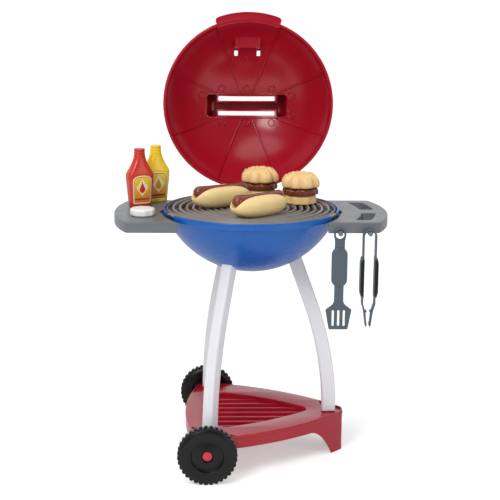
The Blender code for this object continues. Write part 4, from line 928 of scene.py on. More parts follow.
def lid_details(size, radius, centre):
    """Ribs, bosses, the border of the handle's opening and the three small pads."""
    details = []
    half_x = size.handle_length / 2 + 0.5 * MM
    half_y = size.handle_width / 2 - 0.5 * MM
    for turn in RIB_ANGLES:
        x, y = math.cos(math.radians(turn)), math.sin(math.radians(turn))
        start = min(half_x / abs(x), half_y / abs(y)) + 1 * MM
        end = size.rim_radius - 6.2 * MM
        plan = [
            (x * r, y * r) for r in (start + (end - start) * step / 40 for step in range(41))]
        details.append(lid_bead(
            "rib", radius, centre, plan, size.rib_width, size.rib_height, fade=2))
    border = []
    corners = rectangle((-half_x, -half_y), (half_x, half_y), 9 * MM)
    for (x, y), (next_x, next_y) in zip(corners, corners[1:] + corners[:1]):
        pieces = max(1, round(math.hypot(next_x - x, next_y - y) / (4 * MM)))
        border += [
            (x + (next_x - x) * i / pieces, y + (next_y - y) * i / pieces)
            for i in range(pieces)]
    details.append(lid_bead(
        "border", radius, centre, border, 3.6 * MM, 2.4 * MM, closed=True))
    for places, scale in ((BOSS_PLACES, 1.0), (PAD_PLACES, 0.5)):
        for x, y in places:
            middle, normal = lid_place(radius, centre, x * MM, y * MM)
            details.append(boss(size, middle, normal, scale))
    return details


def boss(size, middle, normal, scale):
    """A low round pad with a raised edge, flat on the inside of the dome."""
    radius = size.boss_radius * scale
    profile = rounded([
        (0, 1.1 * MM, 0), (radius * 0.62, 1.1 * MM, 0.3 * MM),
        (radius * 0.72, 2.8 * MM, 0.6 * MM), (radius * 0.95, 2.8 * MM, 0.7 * MM),
        (radius, -1.5 * MM, 0), (0, -1.5 * MM, 0)], 4, closed=False)
    piece = revolve("boss", profile, 40)
    piece.matrix_world = facing(middle, normal, "Z")
    return piece


def handle_plate(size, width, inset, low, edge):
    """The handle's arch from end to end."""
    half = size.handle_length / 2 - inset
    top = size.depth + size.handle_rise - inset
    outline = rounded([
        (-half, low, 0), (half, low, 0),
        (half - 6 * MM, top, 16 * MM - inset), (6 * MM - half, top, 16 * MM - inset)], 10)
    return stand_up(plate("handle", [outline], -width / 2, width / 2, edge), 0)


def beside_grip(reach, inner, outer, low, high, edge=0.0):
    """The two long spaces beside the handle's grip."""
    spaces = block("spaces", (-reach, inner, low), (reach, outer, high), edge=edge)
    other = block("spaces", (-reach, -outer, low), (reach, -inner, high), edge=edge)
    return merge(settle(spaces), settle(other))


def lid_profile(radius, centre, rim, bottom, steps):
    """Solid dome from its apex down to the rim plane."""
    corners = plain(cap_points(radius, centre, rim, steps, 1)[::-1])
    corners += bottom + [(0, bottom[-1][1], 0)]
    return rounded(corners, 4, closed=False)


def lid_inside(size, radius, centre):
    """The space under the dome, less the latch block that stands in it."""
    rim = size.band_radius - size.wall
    inside = revolve("inside", lid_profile(
        radius, centre, rim, [(rim, -size.rim_height, 0)], 30), 160)
    for corners, edge in ((LATCH_BLOCK, 3 * MM), (LATCH_LEDGE, 1.6 * MM)):
        carve(inside, block_mm("latch", corners, edge))
    return inside


def build_lid(size, bowl):
    """The red lid, made with its rim at the origin and then swung open on its hinge."""
    radius = cap_radius(size.band_radius, size.depth - size.band_height)
    centre = size.depth - radius
    bottom = [
        (size.band_radius, size.rim_height, 1 * MM), (size.rim_radius, size.rim_height, 1.6 * MM),
        (size.rim_radius, 0, 1.6 * MM)]
    lid = revolve("lid", lid_profile(radius, centre, size.band_radius, bottom, 34), 160)
    root = size.depth - HANDLE_ROOT
    feet = handle_plate(size, size.handle_width, 0, root, 4 * MM)
    half_slot = size.slot_length / 2
    middle = block(
        "middle", (-half_slot, -size.handle_width, 0), (half_slot, size.handle_width, 0.3),
        edge=2 * MM)
    carve(feet, middle)
    grip = handle_plate(size, size.grip, 0, root, 3.5 * MM)
    join(lid, feet, grip)
    carve(lid, lid_inside(size, radius - size.wall, centre))
    hollow = handle_plate(
        size, size.handle_width - 2 * size.wall, size.wall, root, 2 * MM)
    guards = beside_grip(
        half_slot + size.wall, size.grip / 2 - size.wall, size.handle_width, 0, 0.3)
    carve(hollow, guards)
    reach_x = size.handle_length / 2 - size.wall
    reach_y = size.handle_width / 2 - size.wall
    ends = plate(
        "ends", [rectangle((-reach_x, -reach_y), (reach_x, reach_y), 8 * MM)], 0, 0.3)
    combine(hollow, ends, "INTERSECT")
    carve(lid, hollow)
    slots = beside_grip(
        half_slot - CLEARANCE, size.grip / 2 + CLEARANCE, size.grip / 2 + size.slot_width,
        root, 0.3, 3 * MM)
    carve(lid, slots)
    carve(lid, *(block_mm("window", corners, 0.8 * MM) for corners in LATCH_WINDOWS))
    lip = plate(
        "lip", [sector(size.lip_inner, size.lip_outer, size.lip_angle, 0, LIP_CORNER)],
        0, 3.5 * MM, 1.2 * MM)
    join(lid, lip)
    frame_outer = sector(LIP_BORDER_START, size.lip_outer, size.lip_angle, 0, LIP_CORNER)
    frame_inner = sector(
        LIP_BORDER_START + LIP_BORDER, size.lip_outer - LIP_BORDER, size.lip_angle, LIP_BORDER,
        6 * MM)
    border = plate("border", [frame_outer, frame_inner], -2 * MM, 1.7 * MM, 0.8 * MM)
    join(lid, border)
    axis = (bowl.hinge_back, bowl.hinge_height - bowl.band_top - LID_GAP)
    outline = [(axis[0] - 11.8 * MM, 10 * MM), (axis[0] - 11.8 * MM, CLEARANCE)]
    outline += arc(axis, HINGE_ROUND, 150, 440, 24)
    for side in (-1, 1):
        knuckle = hinge_part("knuckle", outline, side * KNUCKLE_PLACE, KNUCKLE_WIDTH)
        join(lid, knuckle)
    carve(lid, hinge_bore(bowl, axis[1]))
    merge(lid, *lid_details(size, radius - size.wall, centre))
    hinge = Matrix.Translation((0, bowl.hinge_back, bowl.hinge_height))
    swing = hinge @ Matrix.Rotation(-size.opening, 4, "X") @ hinge.inverted()
    lid.matrix_world = swing @ Matrix.Translation((0, 0, bowl.band_top + LID_GAP))
    return seat(lid, "lid", "red", "lid")


# Cooking grate

def build_grate(size, bowl):
    """The grate of rounded rings with its two tabs."""
    profile = []
    steps = size.ridges * 12
    for step in range(steps + 1):
        reach = (size.radius - 1.5 * MM) * step / steps
        wave = abs(math.sin(math.pi * (size.radius - reach) / size.pitch))
        wave = min(1.0, max(0.0, (wave - 0.35) / 0.5))
        wave = wave * wave * (3 - 2 * wave)
        if reach < size.radius - (size.ridges + 0.5) * size.pitch:
            wave = 1.0
        profile.append((reach, size.crest - size.groove * wave))
    seat_height = bowl.band_top - bowl.ledge_drop + CLEARANCE
    under = size.crest - 8.7 * MM
    profile += [
        (size.radius - 0.5 * MM, size.crest - 0.5 * MM), (size.radius, size.crest - 1.6 * MM),
        (size.radius, seat_height), (size.radius - 6 * MM, seat_height),
        (size.radius - 6 * MM, under), (0, under)]
    grate = revolve("grate", profile, 144, 40)
    half = bowl.notch / 2 - 2 * CLEARANCE
    for turn in NOTCH_ANGLES:
        tab = block(
            "tab", (size.radius - 3 * MM, -half, seat_height),
            (size.tab_reach, half, bowl.band_top - 1.5 * MM), 1 * MM)
        join(grate, turn_about_z(tab, turn))
    grate.data.materials.append(grate_finish_with_painted_groove_shade())
    return seat(grate, "grate", "grate", "cooking_grate")


# Shelves

def shelf_outline(size, inset, inner_inset, notched):
    """The right-hand shelf from above, drawn in by the insets."""
    half = size.half - inset
    inner = size.inner_radius + inner_inset
    inner_angle = math.degrees(math.asin(half / inner))
    inside = arc((size.inner_centre, 0), inner, inner_angle, -inner_angle, 40)
    outer = size.outer_radius - inset
    start = math.degrees(math.asin((-half - size.outer_y) / outer))
    end = math.degrees(math.asin((half - size.outer_y) / outer))
    outside = arc((size.outer_x, size.outer_y), outer, start, end, 32)
    corner = max(size.corner - inset, 2 * MM)
    tips = {0: corner / 3, 40: corner / 3, 41: corner, 73: corner}
    corners = [(*point, tips.get(i, 0)) for i, point in enumerate(inside + outside)]
    if notched:
        tip = size.inner_centre + inner + size.notch_depth
        edge = math.sqrt(inner ** 2 - size.notch_half ** 2) + size.inner_centre
        notch = [
            (edge, size.notch_centre + size.notch_half, 3 * MM),
            (tip, size.notch_centre, 4 * MM),
            (edge, size.notch_centre - size.notch_half, 3 * MM)]
        limit = size.notch_half + 4 * MM
        before = [c for c in corners[:41] if c[1] - size.notch_centre > limit]
        after = [c for c in corners[:41] if size.notch_centre - c[1] > limit]
        corners = before + notch + after + corners[41:]
    return rounded(corners, 6)


def hand_hole(size, low, high, wider=0.0):
    """A long hole that follows the shelf's outer edge."""
    outer = size.outer_radius - size.hole_inset + wider
    inner = outer - size.hole_width - 2 * wider
    outline = []
    for radius, ends in ((outer, (low, high)), (inner, (high, low))):
        first, last = (math.degrees(math.asin((y - size.outer_y) / radius)) for y in ends)
        outline += arc((size.outer_x, size.outer_y), radius, first, last, 7)
    corners = plain(outline)
    for index in (0, 7, 8, 15):
        corners[index] = (*outline[index], 7 * MM)
    return rounded(corners, 8)


def bowl_space(bowl):
    """The room that the outside of the bowl takes under its band."""
    step_radius = bowl.band_radius - bowl.band_step
    radius = cap_radius(step_radius, bowl.depth)
    centre = bowl.band_top - bowl.band_height - bowl.depth + radius
    profile = [(0, bowl.band_top), (step_radius + CLEARANCE, bowl.band_top)]
    profile += cap_points(radius + CLEARANCE, centre, step_radius + CLEARANCE, 16, -1)
    return revolve("bowl_space", profile, 96)


def shelf_plate(size, bowl, holes):
    """A shelf with a hollow underside and a tongue under the bowl's band."""
    bottom = size.top - size.height
    shelf = plate(
        "shelf", [shelf_outline(size, 0, 0, True)] + holes, bottom, size.top, size.edge, 4)
    inner_edge = size.inner_centre + size.inner_radius
    hollow = plate(
        "hollow", [shelf_outline(size, size.wall, size.wall + size.notch_depth, False)],
        bottom - size.wall, size.top - size.wall)
    carve(shelf, hollow)
    tongue = block(
        "tongue", (inner_edge - 12 * MM, -30 * MM, bottom),
        (inner_edge + size.notch_depth + size.wall, 30 * MM,
         bowl.band_top - bowl.band_height - CLEARANCE), 0.8 * MM)
    carve(tongue, bowl_space(bowl))
    return merge(shelf, tongue)


def build_right_shelf(size, bowl):
    """The right shelf with two sleeved hand holes and two pegs."""
    holes = [hand_hole(size, *ends) for ends in HAND_HOLES]
    shelf = shelf_plate(size, bowl, holes)
    for hole, (low, high) in zip(holes, HAND_HOLES):
        outside = hand_hole(size, low - COLLAR, high + COLLAR, COLLAR)
        merge(shelf, plate(
            "collar", [outside, hole], size.top - size.height + 1 * MM, size.top - 1 * MM))
    for x in (size.spatula_x, size.tongs_x):
        peg = rod("peg", size.peg_radius, size.peg_end, 1 * MM - size.half, 1.2 * MM)
        merge(shelf, put(peg, (x, 0, size.peg_height), -90, "X"))
    return seat(shelf, "stand", "grey", "right_shelf")


def build_left_shelf(size, bowl):
    """The left shelf, which is the right one mirrored and without holes."""
    shelf = shelf_plate(size, bowl, [])
    bpy.context.view_layer.update()
    shelf.data.transform(Matrix.Scale(-1, 4, (1, 0, 0)) @ shelf.matrix_world)
    shelf.matrix_world = Matrix()
    shelf.data.flip_normals()
    shelf.name = "left_shelf"
    return seat(shelf, "stand", "grey", "left_shelf")


# Legs

def build_leg(size, bowl, turn, node):
    """A bowed leg with soft edges, from the stub that stands in the tray up to the bowl."""
    foot = size.tray_top - size.tip_drop + CLEARANCE
    outline = leg_outline(size, foot, size.leg_top, size.leg_depth, 44)
    half = size.leg_width / 2
    leg = stand_up(plate("leg", [outline], -half, half, size.leg_edge, 6), 0)
    carve(leg, bowl_space(bowl))
    place = Vector((size.foot_radius, 0, foot))
    leg = merge(settle(leg), block("stub", place - STUB, place + STUB, 1 * MM))
    return seat(turn_about_z(leg, turn), "stand", "white", node)


# Base tray

def triangle_outline(apothem, tip, tip_half, tip_round, inset=0.0, steps=26):
    """A triangle with bowed sides and blunt tips, one of them toward +X."""
    turn = math.radians(60)
    half_chord = tip * math.sin(turn) - tip_half * math.cos(turn)
    bow = apothem - tip * math.cos(turn) - tip_half * math.sin(turn)
    side_radius = cap_radius(half_chord, bow)
    half = math.degrees(math.asin(half_chord / side_radius))
    corners = []
    for third in LEG_ANGLES:
        placed = Matrix.Rotation(math.radians(third), 2)
        for side in (-1, 1):
            point = placed @ Vector((tip - inset, side * (tip_half - inset / 2)))
            corners.append((*point, tip_round))
        normal = math.radians(third) + turn
        reach = apothem - side_radius
        centre = (reach * math.cos(normal), reach * math.sin(normal))
        middle = math.degrees(normal)
        side_points = arc(centre, side_radius - inset, middle - half, middle + half, steps)
        corners += plain(side_points[1:-1])
    return rounded(corners, 6)


def tray_outline(size, inset=0.0):
    return triangle_outline(
        size.tray_side, size.tray_tip, size.tray_tip_half, size.tip_round, inset)


def recess_outline(size, inset=0.0):
    return triangle_outline(
        size.recess_side, size.recess_tip, size.recess_tip_half, size.recess_round, inset, 14)


def tip_block(size, start, low, turn, outline):
    """The part of an outline beyond a straight step across one tip."""
    tip = plate("tip", [outline], low, size.tray_top + size.tray_height)
    beyond = block(
        "beyond", (start, -size.tray_tip, 0), (size.tray_tip + 20 * MM, size.tray_tip, 0.2))
    combine(tip, turn_about_z(beyond, turn), "INTERSECT")
    return tip


def recess_space(size):
    """The sunken panel, flared at its top edge, less the ribs on its floor."""
    floor = size.tray_top - size.recess_depth
    rings = []
    for flare, rise in RECESS_EDGE:
        outline = recess_outline(size, -flare * MM)
        rings.append([Vector((x, y, floor + rise * MM)) for x, y in outline])
    recess = loft("recess", rings)
    half = size.rib_width / 2
    for index in range(size.ribs):
        y = (index - (size.ribs - 1) / 2) * size.rib_pitch
        outline = rounded([
            (y - half, floor - 3 * MM, 0), (y + half, floor - 3 * MM, 0),
            (y + half - 0.8 * MM, floor + size.rib_height, 2 * MM),
            (y - half + 0.8 * MM, floor + size.rib_height, 2 * MM)])
        rib = stand_across(plate("rib", [outline], -size.tray_tip, size.tray_tip), 0)
        carve(recess, rib)
    return recess


def build_tray(size):
    """The three-cornered red tray with its ribbed recess, leg seats and foot."""
    tray = plate("tray", [tray_outline(size, 0.9 * MM)], 0, size.tray_top - 2 * MM)
    rim = plate("rim", [tray_outline(size)], size.tray_top - 6 * MM, size.tray_top, 2 * MM)
    join(tray, rim)
    skirt = size.tray_top - size.tray_height
    profile = [(-0.2, 0.2), (-0.2, skirt)]
    for step in range(25):
        share = step / 24
        x = size.arch_start + (size.arch_end - size.arch_start) * share
        profile.append((x, skirt * (1 - share ** 2)))
    profile += [(size.arch_end, -0.01), (0.2, -0.01), (0.2, 0.2)]
    combine(tray, stand_up(plate("profile", [profile], -0.2, 0.2), 0), "INTERSECT")
    floor = size.tray_top - size.recess_depth
    wall = size.tray_wall
    hollow = plate("hollow", [tray_outline(size, wall)], -wall, size.tray_top - wall, 1 * MM)
    well = plate("well", [recess_outline(size, -wall)], floor - wall, 0.2)
    carve(hollow, well)
    for turn in LEG_ANGLES:
        seat_block = tip_block(
            size, size.tip_step - wall, size.tray_top - size.tip_drop - wall, turn,
            tray_outline(size, -wall))
        carve(hollow, seat_block)
    carve(tray, hollow, recess_space(size))
    for turn in LEG_ANGLES:
        pocket = tip_block(
            size, size.tip_step, size.tray_top - size.tip_drop, turn, tray_outline(size, wall))
        carve(tray, pocket)
        mortise = block(
            "mortise",
            (size.foot_radius - STUB.x - CLEARANCE, -STUB.y - CLEARANCE, skirt),
            (size.foot_radius + STUB.x + CLEARANCE, STUB.y + CLEARANCE, size.tray_top))
        carve(tray, turn_about_z(mortise, turn))
    top = size.tray_top - size.tip_drop - 9 * MM
    for side in (-1, 1):
        near, far = sorted(side * end for end in BEARING_ENDS)
        bearing = block(
            "bearing", (size.wheel_x - BEARING_HALF, near, size.wheel_radius - BEARING_HALF),
            (size.wheel_x + BEARING_HALF, far, top), 1.5 * MM)
        join(tray, bearing)
    bore = rod("bore", AXLE_BORE, -size.tray_tip, size.tray_tip)
    carve(tray, put(bore, (size.wheel_x, 0, size.wheel_radius), 90, "X"))
    return seat(tray, "stand", "red", "base_tray")


# Wheels

def tread_lobe(size, degrees, low, high):
    """One rounded lobe of the tread, from side to side of its row."""
    inner = size.wheel_radius - size.lobe_depth - 2 * MM
    half = math.pi * size.wheel_radius / size.lobes * 0.8
    outline = []
    for step in range(13):
        turn = math.pi * (step / 12 - 0.5)
        bulge = math.cos(turn) ** 0.7 if 0 < step < 12 else 0.0
        outline.append((inner + (size.wheel_radius - inner) * bulge, half * math.sin(turn)))
    return turn_about_z(plate("lobe", [outline], low, high, 0.7 * MM, 2), degrees)


def build_wheel(size, side, name):
    """A black wheel with two staggered rows of lobes and a sunken hub."""
    half = size.wheel_width / 2
    base = size.wheel_radius - size.lobe_depth
    corners = [(x * MM, half - depth * MM, blunt * MM) for x, depth, blunt in WHEEL_FRONT]
    corners += [(base, half - WHEEL_SHOULDER, 1.5 * MM), (base, WHEEL_SHOULDER - half, 1.5 * MM)]
    corners += [(x * MM, depth * MM - half, blunt * MM) for x, depth, blunt in WHEEL_BACK[::-1]]
    wheel = revolve("wheel", rounded(corners, 4), 120)
    step = 360 / size.lobes
    tread_half = half - 2 * MM
    rows = ((-tread_half, -CLEARANCE), (CLEARANCE, tread_half))
    merge(wheel, *(
        tread_lobe(size, step * (index + row / 2 - 0.25), low, high)
        for row, (low, high) in enumerate(rows) for index in range(size.lobes)))
    put(wheel, (size.wheel_x, side * size.wheel_y, size.wheel_radius), -90 * side, "X")
    return seat(wheel, "wheel_" + name, "black", "wheel_" + name)


def build_axle_cap(size, side, name):
    """A domed red cap pressed on the end of the axle."""
    base = size.wheel_y + size.wheel_width / 2 - 5.9 * MM
    r = size.cap_radius
    profile = rounded([
        (0, base + 4 * MM, 0), (r * 0.45, base + 3.95 * MM, 2 * MM),
        (r * 0.93, base + 2.9 * MM, 1.6 * MM), (r, base, 0.4 * MM), (AXLE_BORE, base, 0),
        (AXLE_BORE, base + 2 * MM, 0), (0, base + 2 * MM, 0)], 6, closed=False)
    cap = revolve("cap", profile, 64)
    put(cap, (size.wheel_x, 0, size.wheel_radius), -90 * side, "X")
    return seat(cap, "stand", "cap", "axle_cap_" + name)


# Spatula and tongs

def build_spatula(size, shelf):
    """The slotted spatula with a soft-edged grip panel."""
    middle_x = shelf.spatula_x
    eye = (middle_x, shelf.peg_height + shelf.peg_radius + CLEARANCE - size.eye)
    panel_top = eye[1] - size.panel_drop
    panel_bottom = panel_top - size.panel_length
    shoulder = panel_bottom - size.shank_length
    tip = shoulder - size.blade
    corners = plain(arc(eye, size.eye_outer, -28, 208, 40))
    half_widths = [
        (size.neck, eye[1] - size.eye_outer, 6 * MM), (size.neck, panel_bottom + 15 * MM, 0),
        (size.shank, panel_bottom + 15 * MM, 0), (size.shank, shoulder + 12 * MM, 14 * MM),
        (size.shoulder, shoulder, 3 * MM), (size.tip, tip, 3 * MM)]
    corners += [(middle_x - half, z, radius) for half, z, radius in half_widths]
    corners += [(middle_x + half, z, radius) for half, z, radius in half_widths[::-1]]
    holes = [circle(eye, size.eye)]
    for index in (-1, 0, 1):
        x = middle_x + index * size.slot_pitch
        holes.append(rectangle(
            (x - size.slot / 2, tip + size.blade * 0.17),
            (x + size.slot / 2, tip + size.blade * 0.97), size.slot * 0.49))
    half = size.thickness / 2
    spatula = plate("spatula", [rounded(corners, 8)] + holes, -half, half, 0.8 * MM)
    spatula = stand_up(spatula, size.spatula_y)
    outline = rectangle(
        (middle_x - size.panel_half, panel_bottom), (middle_x + size.panel_half, panel_top),
        size.panel_half * 0.98)
    half = size.panel_thick / 2
    panel = stand_up(plate("panel", [outline], -half, half, 2.2 * MM, 5), size.spatula_y)
    join(spatula, panel)
    ring = [
        Vector((x, size.spatula_y - 1.2 * MM, z)) for x, z in circle(eye, EYE_RIM, EYE_RIM_STEPS)]
    normals = [Vector((0, -1, 0))] * EYE_RIM_STEPS
    merge(spatula, bead("rim", ring, normals, 2.6 * MM, 0.9 * MM, closed=True))
    return seat(spatula, "spatula", "slate", "spatula")


def strip(name, line, thickness, depth, y):
    """A springy strip along a line in X and Z, with rounded edges."""
    rings = []
    last = len(line) - 1
    half, edge = thickness / 2, 0.7 * MM
    section = rounded([
        (-half, -depth / 2, edge), (half, -depth / 2, edge),
        (half, depth / 2, edge), (-half, depth / 2, edge)], 3)
    for i, (x, z) in enumerate(line):
        before, after = line[max(0, i - 1)], line[min(last, i + 1)]
        along = Vector((after[0] - before[0], after[1] - before[1])).normalized()
        across = Vector((-along.y, along.x))
        rings.append([
            Vector((x + across.x * u, y + v, z + across.y * u)) for u, v in section])
    return loft(name, rings)


def tongs_heights(size, shelf):
    centre = shelf.peg_height + shelf.peg_radius + CLEARANCE - size.bow
    return centre, centre - size.bow_drop


def build_bow(size, shelf):
    """The bow of the tongs, bent over its peg."""
    centre, arm_top = tongs_heights(size, shelf)
    middle = size.bow + size.thickness / 2
    line = [(shelf.tongs_x + middle, arm_top + CLEARANCE)]
    line += arc((shelf.tongs_x, centre), middle, 0, 180, 40)
    line += [(shelf.tongs_x - middle, arm_top + CLEARANCE)]
    bow = strip("bow", line, size.thickness, size.strip_depth, size.strip_y)
    return seat(bow, "tongs", "slate", "tongs_bow")


def arm_line(size, shelf, side):
    """The middle line of an arm: straight, then in to a nub, then on to the tip."""
    middle = size.bow + size.thickness / 2
    top = tongs_heights(size, shelf)[1]
    bend = top - size.straight
    nub = bend - size.bend
    corners = [
        (middle, top, 0), (middle, bend, 12 * MM), (size.nub_half, nub, 10 * MM),
        (size.tip_half, nub - size.tip_run, 0)]
    return [(shelf.tongs_x + side * x, z) for x, z in rounded(corners, 10, closed=False)]


def build_arm(size, shelf, side, name):
    """One arm of the tongs with its grip bumps at the tip."""
    line = arm_line(size, shelf, side)
    arm = strip("arm", line, size.thickness, size.strip_depth, size.strip_y)
    height = tongs_heights(size, shelf)[1] - size.straight - size.bend
    for drop, reach in ARM_NUBS:
        near, far = sorted((
            shelf.tongs_x + side * (size.nub_half - size.thickness / 2 - reach * MM),
            shelf.tongs_x + side * size.nub_half))
        nub = block(
            "nub", (near, size.strip_y - NUB_HALF, height - drop * MM - NUB_HEIGHT),
            (far, size.strip_y + NUB_HALF, height - drop * MM), 0.6 * MM)
        merge(arm, nub)
    return seat(arm, "tongs_" + name, "slate", "tongs_arm_" + name)


def grip_outline(inner, outer, low, high, thin, run, bend, steps):
    """Side view of a grip or of its pad, thinner toward both ends."""
    return rounded([
        (inner, low, 1 * MM), (outer - thin, low, 1.5 * MM), (outer, low + run, bend),
        (outer, high - run, bend), (outer - thin, high, 1.5 * MM), (inner, high, 1 * MM)], steps)


def build_tongs_grip(size, shelf, side, name):
    """A grip sleeve round an arm: slate shell with a black pad let into each face."""
    middle = size.bow + size.thickness / 2
    inner = shelf.tongs_x + side * (middle - size.thickness / 2 - 2 * CLEARANCE)
    outer = shelf.tongs_x + side * (middle + size.sleeve_out)
    arm_top = tongs_heights(size, shelf)[1]
    top, bottom = (arm_top - share * size.straight for share in (0.226, 0.887))
    outline = grip_outline(inner, outer, bottom, top, side * 2.2 * MM, 11 * MM, 14 * MM, 8)
    half = size.sleeve_depth / 2
    grip = stand_up(plate("grip", [outline], -half, half, 1 * MM), size.strip_y)
    near, far = sorted((
        shelf.tongs_x + side * (middle - size.thickness),
        shelf.tongs_x + side * (middle + size.thickness / 2 + CLEARANCE)))
    reach = size.strip_depth / 2 + CLEARANCE
    channel = block(
        "channel", (near, size.strip_y - reach, bottom - 8 * MM),
        (far, size.strip_y + reach, top + 8 * MM))
    carve(grip, channel)
    seat(grip, "tongs_" + name, "slate", "tongs_grip_" + name)
    inset = side * 0.5 * MM
    outline = grip_outline(
        inner + inset, outer - inset, bottom + 3 * MM, top - 3 * MM, side * 1.9 * MM, 9 * MM,
        10 * MM, 6)
    pads = []
    for face in (-1, 1):
        pad = plate("grip_pad", [outline], -0.45 * MM, 0.45 * MM, 0.3 * MM)
        pads.append(stand_up(pad, size.strip_y + face * (half - 0.4 * MM)))
    return seat(merge(*pads), "tongs_" + name, "black")


# Play food

def capsule(name, radius, length):
    """A round-ended bar along Z."""
    straight = length / 2 - radius
    top = [(x, y + straight) for x, y in arc((0, 0), radius, 90, 0, 12)]
    bottom = [(x, -y - straight) for x, y in arc((0, 0), radius, 0, 90, 12)]
    top[0] = (0, straight + radius)
    bottom[-1] = (0, -straight - radius)
    return revolve(name, top + bottom, 40)


def food_base(grate):
    return grate.crest + CLEARANCE


def build_sausage(size, grate, index):
    """A glossy sausage with pinched ends."""
    x, y, direction = HOTDOG_PLACES[index]
    rings = []
    half = size.sausage_length / 2
    for step in range(61):
        along = math.sin(math.pi * (step / 60 - 0.5))
        reach = half * along
        end = max(0.0, abs(reach) - half + size.sausage_radius) / size.sausage_radius
        radius = size.sausage_radius * math.sqrt(max(0.0004, 1 - end ** 2)) * (
            0.86 + 0.12 * min(1.0, abs(reach) / (half - size.sausage_radius)) ** 2)
        rings.append([Vector((reach, b, -a)) for a, b in circle((0, 0), radius, 40)])
    sausage = loft("sausage", rings, 60)
    put(sausage, (x, y, food_base(grate) + size.sausage_lift - 0.8 * MM), direction)
    return seat(sausage, f"sausage_{index + 1}", "sausage", f"sausage_{index + 1}")


def build_bun(size, grate, index):
    """A soft hot-dog bun with a groove that holds its sausage."""
    x, y, direction = HOTDOG_PLACES[index]
    edit = bmesh.new()
    bmesh.ops.create_icosphere(edit, subdivisions=6, radius=1)
    for vertex in edit.verts:
        blunt = math.copysign(abs(vertex.co.x) ** 0.75, vertex.co.x)
        full = math.hypot(vertex.co.y, vertex.co.z)
        if full:
            across, up = abs(vertex.co.y) / full, abs(vertex.co.z) / full
            full = (across ** 2.5 + up ** 2.5) ** (-1 / 2.5)
        vertex.co = (
            blunt * size.bun_length / 2, vertex.co.y * full * size.bun_width / 2,
            vertex.co.z * full * size.bun_height / 2)
    bun = link("bun", mesh_of("bun", edit))
    height = size.bun_height / 2 - 2 * MM
    below = block("below", (-0.1, -0.1, -0.1), (0.1, 0.1, -height))
    carve(bun, below)
    lift = size.sausage_lift - height
    groove = capsule("groove", size.sausage_radius + CLEARANCE, 0.2)
    carve(bun, put(groove, (0, 0, lift), 90, "Y"))
    mouth = size.sausage_radius * 1.05
    above = block("above", (-0.1, -mouth, lift), (0.1, mouth, 0.1))
    carve(bun, above)
    melt = bun.modifiers.new("melt", "REMESH")
    melt.mode = "VOXEL"
    melt.voxel_size = 1.1 * MM
    even = bun.modifiers.new("even", "SMOOTH")
    even.factor = 0.5
    even.iterations = 7
    settle(bun, 60)
    put(bun, (x, y, food_base(grate) + height), direction)
    return seat(bun, f"bun_{index + 1}", "bread", f"hotdog_bun_{index + 1}")


def round_food(name, radius, base, height, drop, edge, ripple=0.0, waves=8, knobs=0.0):
    """A soft disc turned from its profile, with ripples round its side and knobs on its top."""
    foot = height * 0.16
    side = base + height - drop
    top = [(x, side + y * drop / edge) for x, y in arc((radius - edge, 0), edge, 90, 0, 22)]
    profile = [(0, base + height)] + [
        (step / 12 * top[0][0], base + height) for step in range(1, 12)] + top
    profile += arc((radius - foot, base + foot), foot, 0, -90, 8) + [(0, base)]
    piece = revolve(name, profile, 112, 60)
    for vertex in piece.data.vertices:
        reach = math.hypot(vertex.co.x, vertex.co.y)
        turn = math.atan2(vertex.co.y, vertex.co.x)
        share = reach / radius
        level = (vertex.co.z - base) / height
        wander = 0.9 * noise.noise((math.cos(turn), math.sin(turn), radius * 90))
        press = ripple * share ** 1.6 * (1 - abs(math.sin(waves * turn / 2 + wander)) ** 0.7)
        vertex.co.x *= 1 - press
        vertex.co.y *= 1 - press
        if knobs:
            near = noise.voronoi(vertex.co * KNOBS_PER_METRE)[0][0]
            vertex.co.z -= knobs * max(0.0, level) ** 2 * min(1.0, 1.5 * near ** 1.5)
    piece.data.update()
    return piece


def build_burger(size, grate, index):
    """A burger in three loose pieces: lobed bottom, patty and knobbly top."""
    x, y = BURGER_PLACES[index]
    base = food_base(grate)
    parts = (
        ("bottom", size.heel_radius, size.heel_height, 0.35, 0.3, "golden", 0.11, 8, 0.0),
        ("patty", size.patty_radius, size.patty_height, 0.45, 0.22, "patty", 0.08, 12, 2 * MM),
        ("top", size.crown_radius, size.crown_height, 0.78, 0.6, "golden", 0.26, 8, 4.6 * MM))
    for kind, radius, height, drop, edge, tint, ripple, waves, knobs in parts:
        node = f"burger_{index + 1}_{kind}"
        piece = round_food(
            kind, radius, base, height, height * drop, radius * edge, ripple, waves, knobs)
        seat(put(piece, (x, y, 0)), node, tint, node)
        base += height + CLEARANCE


# Bottles and butter pat

def oval(half_width, half_depth, squareness, height, steps=72):
    """A ring of points between an ellipse and a rectangle."""
    ring = []
    for step in range(steps):
        turn = 2 * math.pi * step / steps
        cosine, sine = math.cos(turn), math.sin(turn)
        power = 2 / squareness
        ring.append(Vector((
            half_width * math.copysign(abs(cosine) ** power, cosine),
            half_depth * math.copysign(abs(sine) ** power, sine), height)))
    return ring


def spread(levels):
    """The bottle's levels with smooth ones between them."""
    fine = []
    for i in range(len(levels) - 1):
        p0, p1, p2, p3 = (levels[min(max(k, 0), len(levels) - 1)] for k in range(i - 1, i + 3))
        pieces = 4 if p2[0] - p1[0] > 3 else 2
        for step in range(pieces):
            t = step / pieces
            values = [
                p1[k] + (p2[k] - p1[k]) * (3 * t * t - 2 * t ** 3) if k and p1[0] > 95 else
                0.5 * (2 * p1[k] + (p2[k] - p0[k]) * t
                       + (2 * p0[k] - 5 * p1[k] + 4 * p2[k] - p3[k]) * t * t
                       + (3 * p1[k] - p0[k] - 3 * p2[k] + p3[k]) * t ** 3)
                for k in range(4)]
            values[0] = p1[0] + (p2[0] - p1[0]) * t
            fine.append(values)
    return fine + [list(levels[-1])]


